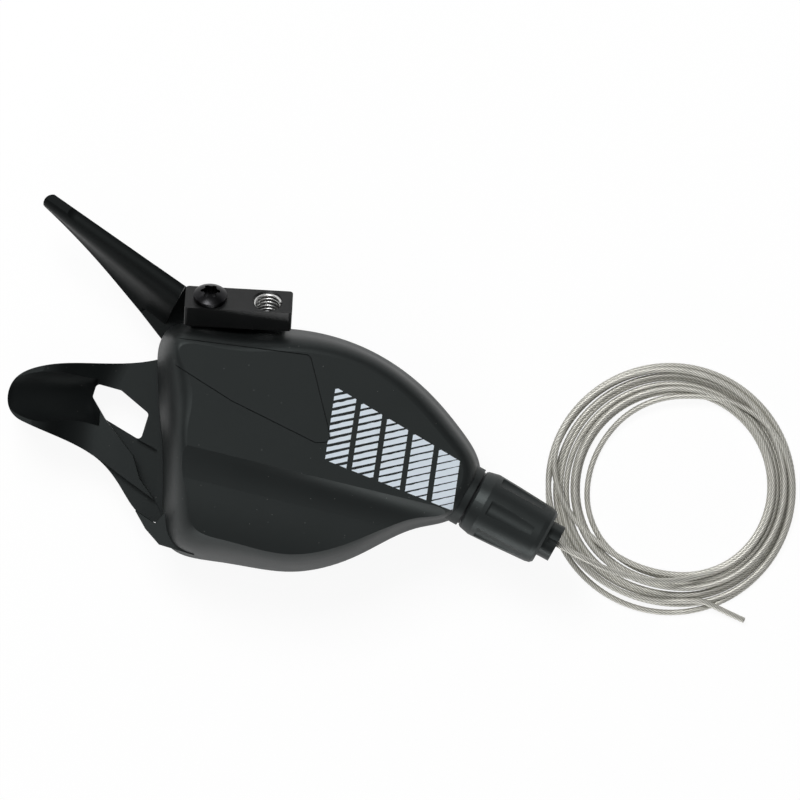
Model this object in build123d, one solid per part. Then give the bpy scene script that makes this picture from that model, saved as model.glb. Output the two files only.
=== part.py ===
"""Trigger gear shifter, in millimetres.

The spindle stands on the origin and +Z is up off the table that the lower cover rests on.
The cable leaves to the right, the thumb levers lie to the left, the clamp bracket is at the back.
"""

import os
from math import atan2, cos, degrees, hypot, radians, sin, tan

from build123d import *

# Clearances
RUN_FIT = 0.05
SEAT_FIT = 0.02
GAP = 0.5
PAWL_GAP = 0.12

# Heights up the spindle
FLOOR = 1.6
NUT_BASE = 2.2
NUT_HEIGHT = 3.2
WASHER = 0.5
LEVER_HUB = 3.0
SPACER = 0.3
DISC = 2.5
PLATE = 2.0
PLATE_GAP = 0.8
SHOULDER = 0.5
RATCHET = 1.7
CABLE_RISE = 2.4
CUP_FLOOR = 2.6
CUP_DEPTH = 3.0
CLIP = 0.6

DISH_TOP = NUT_BASE + NUT_HEIGHT
LEVER_Z = DISH_TOP + WASHER + RUN_FIT
SPACER_Z = LEVER_Z + LEVER_HUB + RUN_FIT
DISC_Z = SPACER_Z + SPACER + RUN_FIT
PLATE_Z = DISC_Z + DISC + GAP
PLATE_TOP = PLATE_Z + PLATE
RATCHET_Z = PLATE_TOP + SHOULDER
SPOOL_Z = RATCHET_Z + RATCHET
CABLE_Z = SPOOL_Z + CABLE_RISE
CUP_Z = CABLE_Z + CUP_FLOOR
SPOOL_TOP = CUP_Z + CUP_DEPTH
CLIP_Z = SPOOL_TOP + RUN_FIT
SPINDLE_TOP = CLIP_Z + CLIP + 0.5

# Spindle and hubs
SPINDLE_R = 3.0
BUSH_WALL = 1.0
LEVER_HUB_R = 13.0
DISC_R = 13.0
NUT_FLATS = 8.0
WASHER_R = 5.6

# Cable and spool
CABLE_R = 0.55
CABLE_WRAP_R = 10.45
CABLE_ANGLE = -28.6
CABLE_RUN = 37.95
HEAD_R = 2.2
HEAD_LENGTH = 4.4
CUP_WALL = 1.2
GROOVE_WIDTH = 1.5
HUB_WALL = 1.2

# Springs
LEVER_SPRING_R = 7.2
LEVER_SPRING_WIRE_R = 0.45
RELEASE_SPRING_R = 7.0
RELEASE_SPRING_WIRE_R = 0.35
SPRING_WELL_FLOOR = 1.0
SPRING_WELL_RIM = 4.5
PAWL_SPRING_WIRE_R = 0.25
DRIVE_SPRING_WIRE_R = 0.2
SPOOL_STRIP = 0.45
SPOOL_STRIP_WIDTH = 1.6
SPOOL_STRIP_PITCH = 1.05
SPOOL_SPRING_GAP = 0.5
SPOOL_SPRING_ROOM = 0.8

# Ratchet and pawls
TOOTH_TIP_R = 15.0
TOOTH_DEPTH = 1.6
FLANGE_R = TOOTH_TIP_R - TOOTH_DEPTH - 0.2
CUP_R = FLANGE_R - 1.2
TEETH = 11
TOOTH_PITCH = 18.0
LAND_END = 78.0
HOLD_NOSE_ANGLE = 60.0
HOLD_ARM = 13.0
HOLD_ARM_ANGLE = -23.0
HOLD_LIFT = 10.0
PAWL_PIN_R = 1.2
PAWL_EYE_R = 2.6
PAWL_WIDTH = 2.0
PAWL_BACK = 1.6
PIN_HEAD_RIM = 0.4
PIN_HEAD_THICK = 0.4
PIN_REACH = 2.6
POST_REACH = 1.9
DRIVE_EYE_R = 2.1
DRIVE_POST_R = TOOTH_TIP_R + DRIVE_EYE_R + 0.8
DRIVE_POST_ANGLE = 290.0
DRIVE_POST_THICK = 1.3
DRIVE_ARM_ANGLE = 24.0
DRIVE_DROP = 5.0
PULL_SWING = 55.0
RELEASE_SWING = 14.0
FOLLOWER_R = 0.8
FOLLOWER_BACK = 3.4

# Upper cover
WALL = 2.0
TOP_LEFT = 31.4
TOP_FALL = 0.105
TOP_LEFT_X = -18.0
NECK_R = 5.9
NECK_CORE = 9.0
# Each point of the skirt's edge is x, y and how far the wall leans in up to the shoulder.
COVER_EDGE = (
    (-21.0, 16.4, 2.8),
    (-18.4, 23.0, 1.8),
    (-8.0, 23.3, 1.8),
    (5.0, 22.7, 1.7),
    (17.4, 19.4, 0.9),
    (28.7, 12.1, 0.8),
    (36.4, 3.4, 0.8),
)
COVER_EDGE_LOW = (
    (28.7, -14.4, 1.8),
    (17.4, -19.8, 2.7),
    (5.0, -23.1, 3.2),
    (-9.1, -21.3, 3.8),
    (-18.8, -18.2, 5.0),
    (-20.0, -9.0, 3.4),
    (-20.3, 4.0, 2.8),
)
HORN = ((-14.0, -19.9), (-20.6, -17.9), (-23.2, -14.9), (-25.1, -11.5), (-21.4, -13.9), (-18.0, -10.5))
HORN_HEIGHT = 6.0
# The crease runs from left to right across the top; below it lies a valley and then the lobe.
CREASE_START = (-12.0, 0.2)
CREASE_END = (37.2, -11.9)
VALLEY_WIDTH = 6.0
VALLEY_LEFT = 0.5
VALLEY_RIGHT = 3.2
LOBE_CROWN = 12.5
LOBE_RISE = 0.7
LOBE_FALL = 5.0
LOBE_REACH = 26.0

# Hatch
HATCH_EDGE = ((-18.4, 21.3), (8.1, 17.9), (12.2, 1.4), (9.0, 1.3), (-6.8, 9.2), (-18.4, 16.6))
HATCH_CORNER = 1.3
HATCH_THICK = 1.1
HATCH_GAP = 0.15
HATCH_LEDGE = 1.6
HATCH_CLIP = 2.2

# Lower cover
LOWER_INSET = 0.9
LOWER_ROUND = 2.6
LOWER_WALL = 1.6
SWEEP_FROM = 112.0
SWEEP_TO = 276.0

# Cover screws
COVER_SCREW_AT = ((29.2, 3.2), (23.6, -10.0), (13.0, 17.6))
COVER_SCREW_R = 1.2
COVER_SCREW_HEAD_R = 1.9
COVER_SCREW_HEAD = 1.4
BOSS_R = 2.1
POST_R = 2.6
SCREW_BITE = 6.0

# Release lever: a bent plate whose ridge runs straight from the tip to the root
BLADE_TIP = (-42.3, 46.0)
BLADE_TOP = (-40.2, 48.1)
BLADE_NOSE = (-41.8, 47.6)
BLADE_ROOT_TOP = (-15.6, 30.9)
BLADE_ROOT_LOW = (-20.6, 21.8)
BLADE_LOW = ((-24.2, 26.0), (-31.7, 35.0), (-39.2, 43.0))
RIDGE_TIP = (-39.8, 44.9)
RIDGE_ROOT = (-16.6, 28.5)
BLADE_HEIGHT = 22.5
BAND_WIDTH = 2.7
BAND_THICK = 2.6
BLADE_THICK = 2.3
BAND_EDGE = 0.5
RIDGE_BACK = 0.9
FACE_WIDTH_TIP = 1.4
FACE_WIDTH_ROOT = 8.3
FACE_DROP_TIP = 7.5
FACE_DROP_ROOT = 12.6
CHANNEL_R = 2.6
CHANNEL_DEPTH = 0.55
CHANNEL_FROM = 3.4
RIB_FROM = 0.74
RIB_TO = 1.05
RELEASE_ARM_R = 27.2
BLADE_CLEAR_R = RELEASE_ARM_R + 1.3

# Pull lever
PAD_OUTLINE = ((-49.2, 9.4), (-48.0, 13.2), (-43.0, 15.8), (-34.0, 16.4), (-26.0, 16.4), (-20.5, 17.2))
PAD_UNDER = ((-19.5, -14.0), (-25.6, -11.0), (-28.0, -7.2), (-31.7, -2.4), (-38.0, 1.6), (-46.6, 5.5))
WINDOW = ((-33.4, 10.0), (-30.9, 5.7), (-24.3, 1.7), (-22.7, 6.8), (-27.9, 11.2), (-32.6, 12.5))
WINDOW_CORNER = 0.8
WEB = ((-31.0, 5.9), (-25.7, -1.1), (-24.4, -5.6), (-21.6, -9.6), (-21.2, 0.0), (-24.3, 1.7))
WEB_THICK = 1.4
PAD_TOP = 18.5
ARM_KEEP_R = 31.8
PAD_RISE = ((3.4, 1.4), (8.2, 5.6), (13.2, 8.9))
LOW_ARM_TOP = 11.6
SCOOP_R = 5.0
SCOOP_WIDTH = 8.2
SCOOP_FROM = (-45.6, 10.2)
SCOOP_TO = (-31.0, 9.2)
SCOOP_SINK = 1.3
SCOOP_TILT = 8.5
POCKET_R = 4.0
POCKET_ENDS = ((-43.4, 10.2), (-41.6, 9.4))
POCKET_TOP = 9.5
FACET = ((-31.6, -2.2), (-20.6, -10.3))
FACET_DROP = 5.2
FACET_RUN = 5.4
LUG_SPREAD = 22.0

# Clamp bracket
BAR_LENGTH = 20.2
BAR_FACE = 6.5
BAR_THICK = 4.4
BAR_LEAN = 50.0
BAR_AT = (-5.4, 28.3)
BAR_TOP = 29.4
BAR_TURN = -3.2
BAR_ROUND = 0.7
HOLE_SPACING = 10.8
THREAD_R = 2.5
THREAD_SINK = 0.4
THREAD_RELIEF_R = 3.0
THREAD_RELIEF = 2.4
BOLT_HEAD_R = 3.15
BOLT_HEAD = 2.0
SOCKET_R = 1.35
SOCKET_LOBE_R = 0.42
SOCKET_FLOOR = 0.5
LEG_WIDTH = 18.0
LEG_THICK = 2.3
FOOT_THICK = 2.0
FOOT_DEPTH = 7.6
FOOT_SCREW_SPACING = 10.0
FOOT_SCREW_R = 1.3
FOOT_SCREW_BACK = 2.3
FOOT_SCREW_RIM = 0.7
FOOT_SCREW_HEAD = 1.1
LEG_SET_IN = 1.3

# Barrel adjuster
KNOB_LENGTH = 15.6
KNOB_BASE_R = 5.9
KNOB_MAX_R = 6.35
KNOB_END_R = 5.5
KNOB_SWELL = 2.4
KNOB_TAPER = 8.6
FLUTES = 6
FLUTE_R = 2.6
FLUTE_DEPTH = 0.75
FLUTE_FROM = 3.4
FLUTE_END = 2.8
SLEEVE_R = 3.6
SLEEVE_PROUD = 2.5
SLEEVE_BORE_R = 1.0
SLEEVE_RIM = 1.1
SLEEVE_SLOTS = 4
SLEEVE_SLOT_WIDTH = 0.9
SLEEVE_TIP_BACK = 0.7
SLEEVE_TRAVEL = 3.2
ADJUSTER_WASHER = 0.3

# Cord laid on the table
COIL_AT = (76.2, -7.5)
COIL_R = 24.6
COIL_HOLE_AT = (77.7, -7.2)
COIL_HOLE_R = 16.6
COIL_HEIGHT = 3.8
COIL_ROUND = 1.2
LEAD_STRAIGHT = 5.2
LEAD_ROUTE = (
    (63.3, -22.3, 16.7),
    (67.6, -23.9, 12.9),
    (72.0, -24.8, 8.7),
    (76.6, -25.0, 5.3),
    (81.4, -24.2, 3.2),
)
TAIL_FROM = (82.0, -28.4, 2.6)
TAIL_TO = (90.4, -32.6, 0.7)

STAND = (Align.CENTER, Align.CENTER, Align.MIN)
WORLD = 80.0

os.makedirs("parts", exist_ok=True)


def polar(radius, angle):
    return (radius * cos(radians(angle)), radius * sin(radians(angle)))


def disc(radius, low, high, at=(0.0, 0.0)):
    return Pos(at[0], at[1], low) * Cylinder(radius, high - low, align=STAND)


def ring(outer, inner, low, high, at=(0.0, 0.0)):
    return disc(outer, low, high, at) - disc(inner, low - 1, high + 1, at)


def prism(face, low, high):
    return Pos(0, 0, low) * extrude(face, amount=high - low, dir=(0, 0, 1))


def polygon(points):
    return make_face(Polyline(*points, close=True))


def sector(radius, start, end, low, high):
    """A wedge about the spindle between two angles."""
    middle = (start + end) / 2
    wedge = make_face(
        [
            Line((0, 0), polar(radius, start)),
            ThreePointArc(polar(radius, start), polar(radius, middle), polar(radius, end)),
            Line(polar(radius, end), (0, 0)),
        ]
    )
    return prism(wedge, low, high)


def arc_slot(radius, half_width, start, end, low, high):
    """A slot that follows a circle about the spindle, with round ends."""
    band = ring(radius + half_width, radius - half_width, low, high)
    slot = band & sector(radius * 2, start, end, low, high)
    for angle in (start, end):
        slot += disc(half_width, low, high, polar(radius, angle))
    return slot


def torsion_spring(radius, wire_r, low, turns, at=(0.0, 0.0)):
    """Close turns of round wire standing on the height low."""
    pitch = wire_r * 2.3
    path = Helix(pitch, pitch * turns, radius)
    section = Plane(path @ 0, z_dir=path % 0) * Circle(wire_r)
    return Pos(at[0], at[1], low + wire_r) * sweep(section, path)


# Places that follow from the cable's line
ALONG = (cos(radians(CABLE_ANGLE)), sin(radians(CABLE_ANGLE)))
ACROSS = (-ALONG[1], ALONG[0])
NECK_BACK = CABLE_RUN - FLANGE_R
TANGENT = (CABLE_WRAP_R * ACROSS[0], CABLE_WRAP_R * ACROSS[1])
NECK = (TANGENT[0] + CABLE_RUN * ALONG[0], TANGENT[1] + CABLE_RUN * ALONG[1])
AXIS = Plane(origin=(NECK[0], NECK[1], CABLE_Z), x_dir=(0, 0, 1), z_dir=(ALONG[0], ALONG[1], 0))
SLEEVE_END = ADJUSTER_WASHER + KNOB_LENGTH + SLEEVE_PROUD


def on_axis(radius, start, end):
    """A cylinder on the cable's axis, measured from the end of the neck."""
    return AXIS * Pos(0, 0, start) * Cylinder(radius, end - start, align=STAND)


def beside_neck(along, across):
    return (NECK[0] + along * ALONG[0] + across * ACROSS[0], NECK[1] + along * ALONG[1] + across * ACROSS[1])


# Upper cover
def top_height(x):
    return TOP_LEFT - TOP_FALL * (x - TOP_LEFT_X)


def skirt_points():
    upper = beside_neck(-0.9, NECK_R - 0.9)
    lower = beside_neck(-1.4, 0.9 - NECK_R)
    return COVER_EDGE + ((*upper, 0.7), (*lower, 0.8)) + COVER_EDGE_LOW


def inset_points(inset, lean):
    """The skirt's points moved inwards by inset and by a share of each one's own lean."""
    points = skirt_points()
    count = len(points)
    moved = []
    for index, (x, y, flare) in enumerate(points):
        before = points[index - 1]
        after = points[(index + 1) % count]
        run = hypot(after[0] - before[0], after[1] - before[1])
        inward = ((after[1] - before[1]) / run, -(after[0] - before[0]) / run)
        step = inset + lean * flare
        moved.append((x + inward[0] * step, y + inward[1] * step))
    return moved


def flat_outline(inset, z=0.0):
    points = [(x, y, z) for x, y in inset_points(inset, 0.0)]
    return Face(Wire(Spline(*points, periodic=True)))


def cover_section(share, inset, lean, lower):
    """One closed section; its plane tilts from the level skirt to the falling top."""
    points = []
    for x, y in inset_points(inset, lean):
        points.append((x, y, PLATE_Z + share * (top_height(x) - lower - PLATE_Z)))
    return Face(Wire(Spline(*points, periodic=True)))


def cover_form(wall, start):
    shape = ((start, 0.0, 0.0), (0.45, 0.0, 0.3), (0.8, 0.15, 0.75), (0.94, 0.8, 1.0), (1.0, 2.4, 1.05))
    sections = [cover_section(share, wall + inset, lean, wall) for share, inset, lean in shape]
    return loft(sections)


def lobe_profile(place, depth):
    """What is cut away above the valley and the lobe, at one station along the crease."""
    far = (-LOBE_REACH, -depth - LOBE_FALL)
    crown = (-LOBE_CROWN, LOBE_RISE - depth)
    valley = (-VALLEY_WIDTH, -depth)
    outline = [
        ThreePointArc((0, 0), (-VALLEY_WIDTH * 0.42, -depth * 0.8), valley),
        ThreePointArc(valley, crown, far),
        Polyline(far, (-LOBE_REACH, WORLD / 2), (0, WORLD / 2), (0, 0)),
    ]
    return place * make_face(outline)


def above_lobe():
    run = (CREASE_END[0] - CREASE_START[0], CREASE_END[1] - CREASE_START[1])
    length = hypot(*run)
    along = (run[0] / length, run[1] / length)
    faces = []
    for station, depth in ((-0.25, VALLEY_LEFT * 0.6), (1.15, VALLEY_RIGHT)):
        x = CREASE_START[0] + run[0] * station
        y = CREASE_START[1] + run[1] * station
        place = Plane(origin=(x, y, top_height(x)), x_dir=(-along[1], along[0], 0), z_dir=(*along, 0))
        faces.append(lobe_profile(place, depth))
    return loft(faces, ruled=True)


def above_top(depth):
    """All the room above the top plane lowered by depth."""
    slab = Box(4 * WORLD, 4 * WORLD, WORLD, align=STAND)
    return Pos(TOP_LEFT_X, 0, TOP_LEFT - depth) * Rot(0, degrees(atan2(TOP_FALL, 1)), 0) * slab


def hatch_face(inset):
    face = polygon(HATCH_EDGE)
    face = fillet(face.vertices(), HATCH_CORNER)
    return offset(face, amount=-inset) if inset else face


def neck_form():
    return on_axis(NECK_R, -NECK_BACK, 0)


def outer_form():
    horn = prism(polygon(HORN), PLATE_Z, PLATE_Z + HORN_HEIGHT)
    form = cover_form(0.0, 0.0) - above_lobe()
    form = form + neck_form() + horn
    return form - on_axis(WORLD / 4, 0, WORLD / 4)


def cover_bosses():
    bosses = [disc(BOSS_R, PLATE_TOP, top_height(at[0]) - WALL, at) for at in COVER_SCREW_AT]
    bores = [disc(COVER_SCREW_R + RUN_FIT, PLATE_TOP - 1, screw_top() + GAP, at) for at in COVER_SCREW_AT]
    return bosses, bores


def screw_top():
    return PLATE_TOP + SCREW_BITE


def upper_cover(outer):
    inner = cover_form(WALL, -0.06)
    lowered = Pos(0, 0, -WALL) * above_lobe()
    bosses, bores = cover_bosses()
    shell = outer - (inner - lowered)
    for boss in bosses:
        shell += boss & outer
    shell += on_axis(NECK_R - 0.4, -NECK_CORE, 0)
    for bore in bores:
        shell -= bore
    shell -= on_axis(SLEEVE_R + RUN_FIT, -NECK_CORE, 1)
    shell -= on_axis(CABLE_R + GAP, -NECK_BACK, 0)
    shell -= prism(hatch_face(0.0), 0, WORLD) & above_top(HATCH_THICK)
    shell -= prism(hatch_face(HATCH_LEDGE), CLIP_Z + CLIP, WORLD)
    shell -= bracket_notch()
    shell -= thread_relief(BAR_THICK + THREAD_RELIEF, THREAD_X)
    return shell


def cable_hatch(outer):
    lid = outer & prism(hatch_face(HATCH_GAP), 0, WORLD) & above_top(HATCH_THICK)
    inside = prism(hatch_face(HATCH_LEDGE + HATCH_GAP), 0, WORLD)
    rim = inside - prism(hatch_face(HATCH_LEDGE + HATCH_GAP + 0.9), -1, WORLD + 1)
    band = above_top(HATCH_CLIP) - above_top(HATCH_THICK)
    return lid + (rim & band)


# Lower cover
def lower_cover():
    dish = loft(
        [
            flat_outline(LOWER_INSET + LOWER_ROUND, 0.0),
            flat_outline(LOWER_INSET + 0.9, FLOOR),
            flat_outline(LOWER_INSET, DISH_TOP),
        ]
    )
    hollow = prism(flat_outline(LOWER_INSET + LOWER_ROUND), FLOOR, DISH_TOP + 1)
    wall = prism(flat_outline(LOWER_INSET), DISH_TOP, PLATE_Z)
    wall -= prism(flat_outline(LOWER_INSET + LOWER_WALL), DISH_TOP - 1, PLATE_Z + 1)
    wall -= sector(WORLD, SWEEP_FROM, SWEEP_TO, DISH_TOP - 1, PLATE_Z + 1)
    body = dish - hollow + wall
    for at in COVER_SCREW_AT:
        post = disc(POST_R, FLOOR / 2, PLATE_Z, at)
        body += post & prism(flat_outline(LOWER_INSET), 0, PLATE_Z)
        body -= disc(COVER_SCREW_R + RUN_FIT, -1, PLATE_Z + 1, at)
        body -= disc(COVER_SCREW_HEAD_R + GAP / 2, -1, screw_head_z() + COVER_SCREW_HEAD, at)
    return body


def screw_head_z():
    return FLOOR / 2


def cover_screws():
    screws = []
    for at in COVER_SCREW_AT:
        head_z = screw_head_z()
        head = disc(COVER_SCREW_HEAD_R, head_z, head_z + COVER_SCREW_HEAD, at)
        head -= Pos(at[0], at[1], head_z) * extrude(RegularPolygon(1.2, 6), amount=0.9)
        screws.append(head + disc(COVER_SCREW_R, head_z, screw_top(), at))
    return Compound(children=screws)


# Base plate
def base_plate():
    plate = prism(flat_outline(WALL + PLATE_GAP), PLATE_Z, PLATE_TOP)
    plate -= disc(SPINDLE_R + SEAT_FIT, PLATE_Z - 1, PLATE_TOP + 1)
    plate -= on_axis(NECK_R + GAP, -NECK_CORE - GAP, WORLD / 4)
    slot_half = DRIVE_POST_THICK + GAP
    end = DRIVE_POST_ANGLE + PULL_SWING
    plate -= arc_slot(DRIVE_POST_R, slot_half, DRIVE_POST_ANGLE - 2, end + 2, PLATE_Z - 1, PLATE_TOP + 1)
    for lift in (0.0, HOLD_LIFT / 2, HOLD_LIFT):
        plate -= disc(FOLLOWER_R + GAP, PLATE_Z - 1, PLATE_TOP + 1, follower_at(lift))
    plate -= disc(PAWL_PIN_R + SEAT_FIT, PLATE_Z - 1, PLATE_TOP + 1, HOLD_PIVOT)
    for at in COVER_SCREW_AT:
        plate -= disc(COVER_SCREW_R + RUN_FIT, PLATE_Z - 1, PLATE_TOP + 1, at)
    for at in foot_screw_places():
        plate -= disc(FOOT_SCREW_R + RUN_FIT, PLATE_Z - 1, PLATE_TOP + 1, at)
    return plate


# Spindle and what holds it
def spindle():
    shaft = disc(SPINDLE_R, FLOOR + RUN_FIT, SPINDLE_TOP)
    shaft += disc(SPINDLE_R + BUSH_WALL, PLATE_TOP, RATCHET_Z - RUN_FIT)
    shaft -= ring(SPINDLE_R + 1, SPINDLE_R - 0.5, CLIP_Z, CLIP_Z + CLIP)
    shaft = chamfer(shaft.edges().sort_by(Axis.Z)[-1], 0.4)
    return shaft


def spindle_nut():
    hexagon = RegularPolygon(NUT_FLATS / 2, 6, major_radius=False)
    nut = Pos(0, 0, NUT_BASE) * extrude(hexagon, amount=NUT_HEIGHT)
    return nut - disc(SPINDLE_R + SEAT_FIT, 0, DISH_TOP + 1)


def spindle_washer():
    return ring(WASHER_R, SPINDLE_R + RUN_FIT, DISH_TOP, DISH_TOP + WASHER)


def spacer_washer():
    return ring(WASHER_R + 2, SPINDLE_R + RUN_FIT, SPACER_Z, SPACER_Z + SPACER)


def spindle_clip():
    clip = ring(SPINDLE_R + 1.8, SPINDLE_R - 0.5 + SEAT_FIT, CLIP_Z + SEAT_FIT, CLIP_Z + CLIP - SEAT_FIT)
    return clip - sector(WORLD, -32, 32, CLIP_Z - 1, CLIP_Z + CLIP + 1)


# Ratchet wheel, spool and cable
def ratchet_wheel():
    """Saw teeth that hold against the cable's pull, after a plain land under the pawls."""
    root_r = TOOTH_TIP_R - TOOTH_DEPTH
    wheel = disc(TOOTH_TIP_R, RATCHET_Z, SPOOL_Z)
    for tooth in range(TEETH):
        steep = LAND_END + tooth * TOOTH_PITCH
        gullet = polygon(
            [
                polar(TOOTH_TIP_R + 1.0, steep - 2.0),
                polar(root_r, steep),
                polar(root_r + 0.3, steep + TOOTH_PITCH * 0.35),
                polar(TOOTH_TIP_R + 1.0, steep + TOOTH_PITCH * 0.92),
            ]
        )
        wheel -= prism(gullet, RATCHET_Z - 1, SPOOL_Z + 1)
    return wheel - disc(bush_outer() + SEAT_FIT, RATCHET_Z - 1, SPOOL_Z + 1)


def bush_outer():
    return SPINDLE_R + RUN_FIT + BUSH_WALL


def head_place(length, radius, back):
    """A cylinder in the cable's line that ends just behind the tangent point."""
    place = Plane(origin=(TANGENT[0], TANGENT[1], CABLE_Z), z_dir=(-ALONG[0], -ALONG[1], 0))
    return place * Pos(0, 0, back) * Cylinder(radius, length, align=STAND)


def cable_spool():
    body = disc(FLANGE_R, SPOOL_Z, CUP_Z) + disc(CUP_R, CUP_Z, SPOOL_TOP)
    body -= disc(CUP_R - CUP_WALL, CUP_Z, SPOOL_TOP + 1)
    body += disc(bush_outer() + HUB_WALL, CUP_Z, SPOOL_TOP)
    groove_floor = CABLE_WRAP_R - CABLE_R - RUN_FIT
    body -= ring(FLANGE_R + 1, groove_floor, CABLE_Z - GROOVE_WIDTH / 2, CABLE_Z + GROOVE_WIDTH / 2)
    pocket = head_place(HEAD_LENGTH + 0.4, HEAD_R + 0.05, 0.2)
    body -= pocket
    body -= disc(bush_outer() + SEAT_FIT, SPOOL_Z - 1, SPOOL_TOP + 1)
    return body


def spool_bush():
    return ring(bush_outer(), SPINDLE_R + RUN_FIT, RATCHET_Z, SPOOL_TOP)


def cable_head():
    return head_place(HEAD_LENGTH, HEAD_R, 0.4)


def spool_spring():
    """A flat spiral of strip between the spool's hub and the wall of its cup."""
    inner = bush_outer() + HUB_WALL + SPOOL_SPRING_GAP
    step = SPOOL_STRIP_PITCH / 2
    half_turns = int((CUP_R - CUP_WALL - SPOOL_SPRING_ROOM - inner) / step)
    edges = []
    radius = inner
    point = (radius, 0.0)
    for half in range(half_turns):
        side = 1 if half % 2 == 0 else -1
        grown = radius + step
        end = (-side * grown, 0.0)
        centre = (point[0] + end[0]) / 2
        top = (centre, side * (radius + grown) / 2)
        edges.append(ThreePointArc(point, top, end))
        point = end
        radius = grown
    path = Wire(edges)
    section = Plane(path @ 0, x_dir=(1, 0, 0), z_dir=path % 0) * Rectangle(SPOOL_STRIP, SPOOL_STRIP_WIDTH)
    return Pos(0, 0, CUP_Z + CUP_DEPTH / 2) * sweep(section, path, transition=Transition.ROUND)


def cable_inner():
    start = -CABLE_RUN + 0.1
    return on_axis(CABLE_R, start, SLEEVE_END)


# Hold pawl
HOLD_NOSE = polar(TOOTH_TIP_R + PAWL_GAP, HOLD_NOSE_ANGLE)
HOLD_OUT = polar(HOLD_ARM, HOLD_ARM_ANGLE)
HOLD_PIVOT = (HOLD_NOSE[0] + HOLD_OUT[0], HOLD_NOSE[1] + HOLD_OUT[1])


def about_pivot(point, lift):
    """A point of the hold pawl after it has lifted, which turns it clockwise."""
    turn = -radians(lift)
    x = point[0] - HOLD_PIVOT[0]
    y = point[1] - HOLD_PIVOT[1]
    return (HOLD_PIVOT[0] + x * cos(turn) - y * sin(turn), HOLD_PIVOT[1] + x * sin(turn) + y * cos(turn))


def follower_at(lift):
    """The follower pin hangs from the pawl's arm, a little behind the nose."""
    share = FOLLOWER_BACK / HOLD_ARM
    across = polar(PAWL_WIDTH * 0.45, HOLD_ARM_ANGLE + 90)
    x = HOLD_NOSE[0] + HOLD_OUT[0] * share + across[0]
    y = HOLD_NOSE[1] + HOLD_OUT[1] * share + across[1]
    return about_pivot((x, y), lift)


def hold_pawl():
    side = polar(PAWL_WIDTH, HOLD_ARM_ANGLE + 90)
    tip = HOLD_NOSE
    back = polar(TOOTH_TIP_R + PAWL_GAP + PAWL_BACK, HOLD_NOSE_ANGLE + 4)
    arm = polygon(
        [
            tip,
            (HOLD_PIVOT[0] - side[0] * 0.7, HOLD_PIVOT[1] - side[1] * 0.7),
            (HOLD_PIVOT[0] + side[0] * 0.8, HOLD_PIVOT[1] + side[1] * 0.8),
            (tip[0] + side[0] * 0.9 + HOLD_OUT[0] * 0.15, tip[1] + side[1] * 0.9 + HOLD_OUT[1] * 0.15),
            back,
        ]
    )
    pawl = prism(arm, RATCHET_Z, SPOOL_Z - RUN_FIT) + disc(PAWL_EYE_R, RATCHET_Z, SPOOL_Z - RUN_FIT, HOLD_PIVOT)
    pawl -= disc(TOOTH_TIP_R + PAWL_GAP, RATCHET_Z - 1, SPOOL_Z + 1)
    pawl += disc(FOLLOWER_R, DISC_Z + 0.3, RATCHET_Z, follower_at(0.0))
    return pawl - disc(PAWL_PIN_R + RUN_FIT, RATCHET_Z - 1, SPOOL_Z + 1, HOLD_PIVOT)


def hold_pawl_pin():
    top = SPOOL_Z + PIN_REACH
    head_r = PAWL_EYE_R - PIN_HEAD_RIM
    pin = disc(PAWL_PIN_R, PLATE_Z, top, HOLD_PIVOT)
    pin += ring(head_r, PAWL_PIN_R - 0.1, PLATE_TOP, RATCHET_Z - RUN_FIT, HOLD_PIVOT)
    return pin + disc(head_r, top - PIN_HEAD_THICK, top, HOLD_PIVOT)


def hold_pawl_spring():
    radius = PAWL_PIN_R + 2 * PAWL_SPRING_WIRE_R
    return torsion_spring(radius, PAWL_SPRING_WIRE_R, SPOOL_Z + 2 * RUN_FIT, 2.5, HOLD_PIVOT)


# Drive pawl, carried by the pull lever
DRIVE_PIVOT = polar(DRIVE_POST_R, DRIVE_POST_ANGLE)


def drive_pawl():
    """It leans off the ratchet at rest and drops towards the teeth when the lever is pushed."""
    nose_angle = DRIVE_POST_ANGLE + DRIVE_ARM_ANGLE
    lifted = drive_nose_lift()
    tip = polar(TOOTH_TIP_R + PAWL_GAP + lifted, nose_angle)
    back = polar(TOOTH_TIP_R + PAWL_GAP + lifted + 1.9, nose_angle - 1)
    inner = polar(DRIVE_POST_R - DRIVE_EYE_R + 0.3, DRIVE_POST_ANGLE + 3)
    outer = polar(DRIVE_POST_R + DRIVE_EYE_R - 0.4, DRIVE_POST_ANGLE + 3)
    arm = polygon([inner, tip, back, outer])
    pawl = prism(arm, RATCHET_Z, SPOOL_Z - RUN_FIT) + disc(DRIVE_EYE_R, RATCHET_Z, SPOOL_Z - RUN_FIT, DRIVE_PIVOT)
    pawl -= disc(TOOTH_TIP_R + PAWL_GAP + lifted * 0.5, RATCHET_Z - 1, SPOOL_Z + 1)
    return pawl - disc(DRIVE_POST_THICK + RUN_FIT, RATCHET_Z - 1, SPOOL_Z + 1, DRIVE_PIVOT)


def drive_nose_lift():
    nose = polar(TOOTH_TIP_R, DRIVE_POST_ANGLE + DRIVE_ARM_ANGLE)
    reach = hypot(nose[0] - DRIVE_PIVOT[0], nose[1] - DRIVE_PIVOT[1])
    return reach * sin(radians(DRIVE_DROP))


def drive_pawl_post():
    top = SPOOL_Z + POST_REACH
    post = disc(DRIVE_POST_THICK, LEVER_Z, top, DRIVE_PIVOT)
    post += disc(DRIVE_EYE_R, PLATE_TOP + 3 * RUN_FIT, RATCHET_Z - RUN_FIT, DRIVE_PIVOT)
    return post + disc(DRIVE_EYE_R - 0.3, top - PIN_HEAD_THICK, top, DRIVE_PIVOT)


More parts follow.
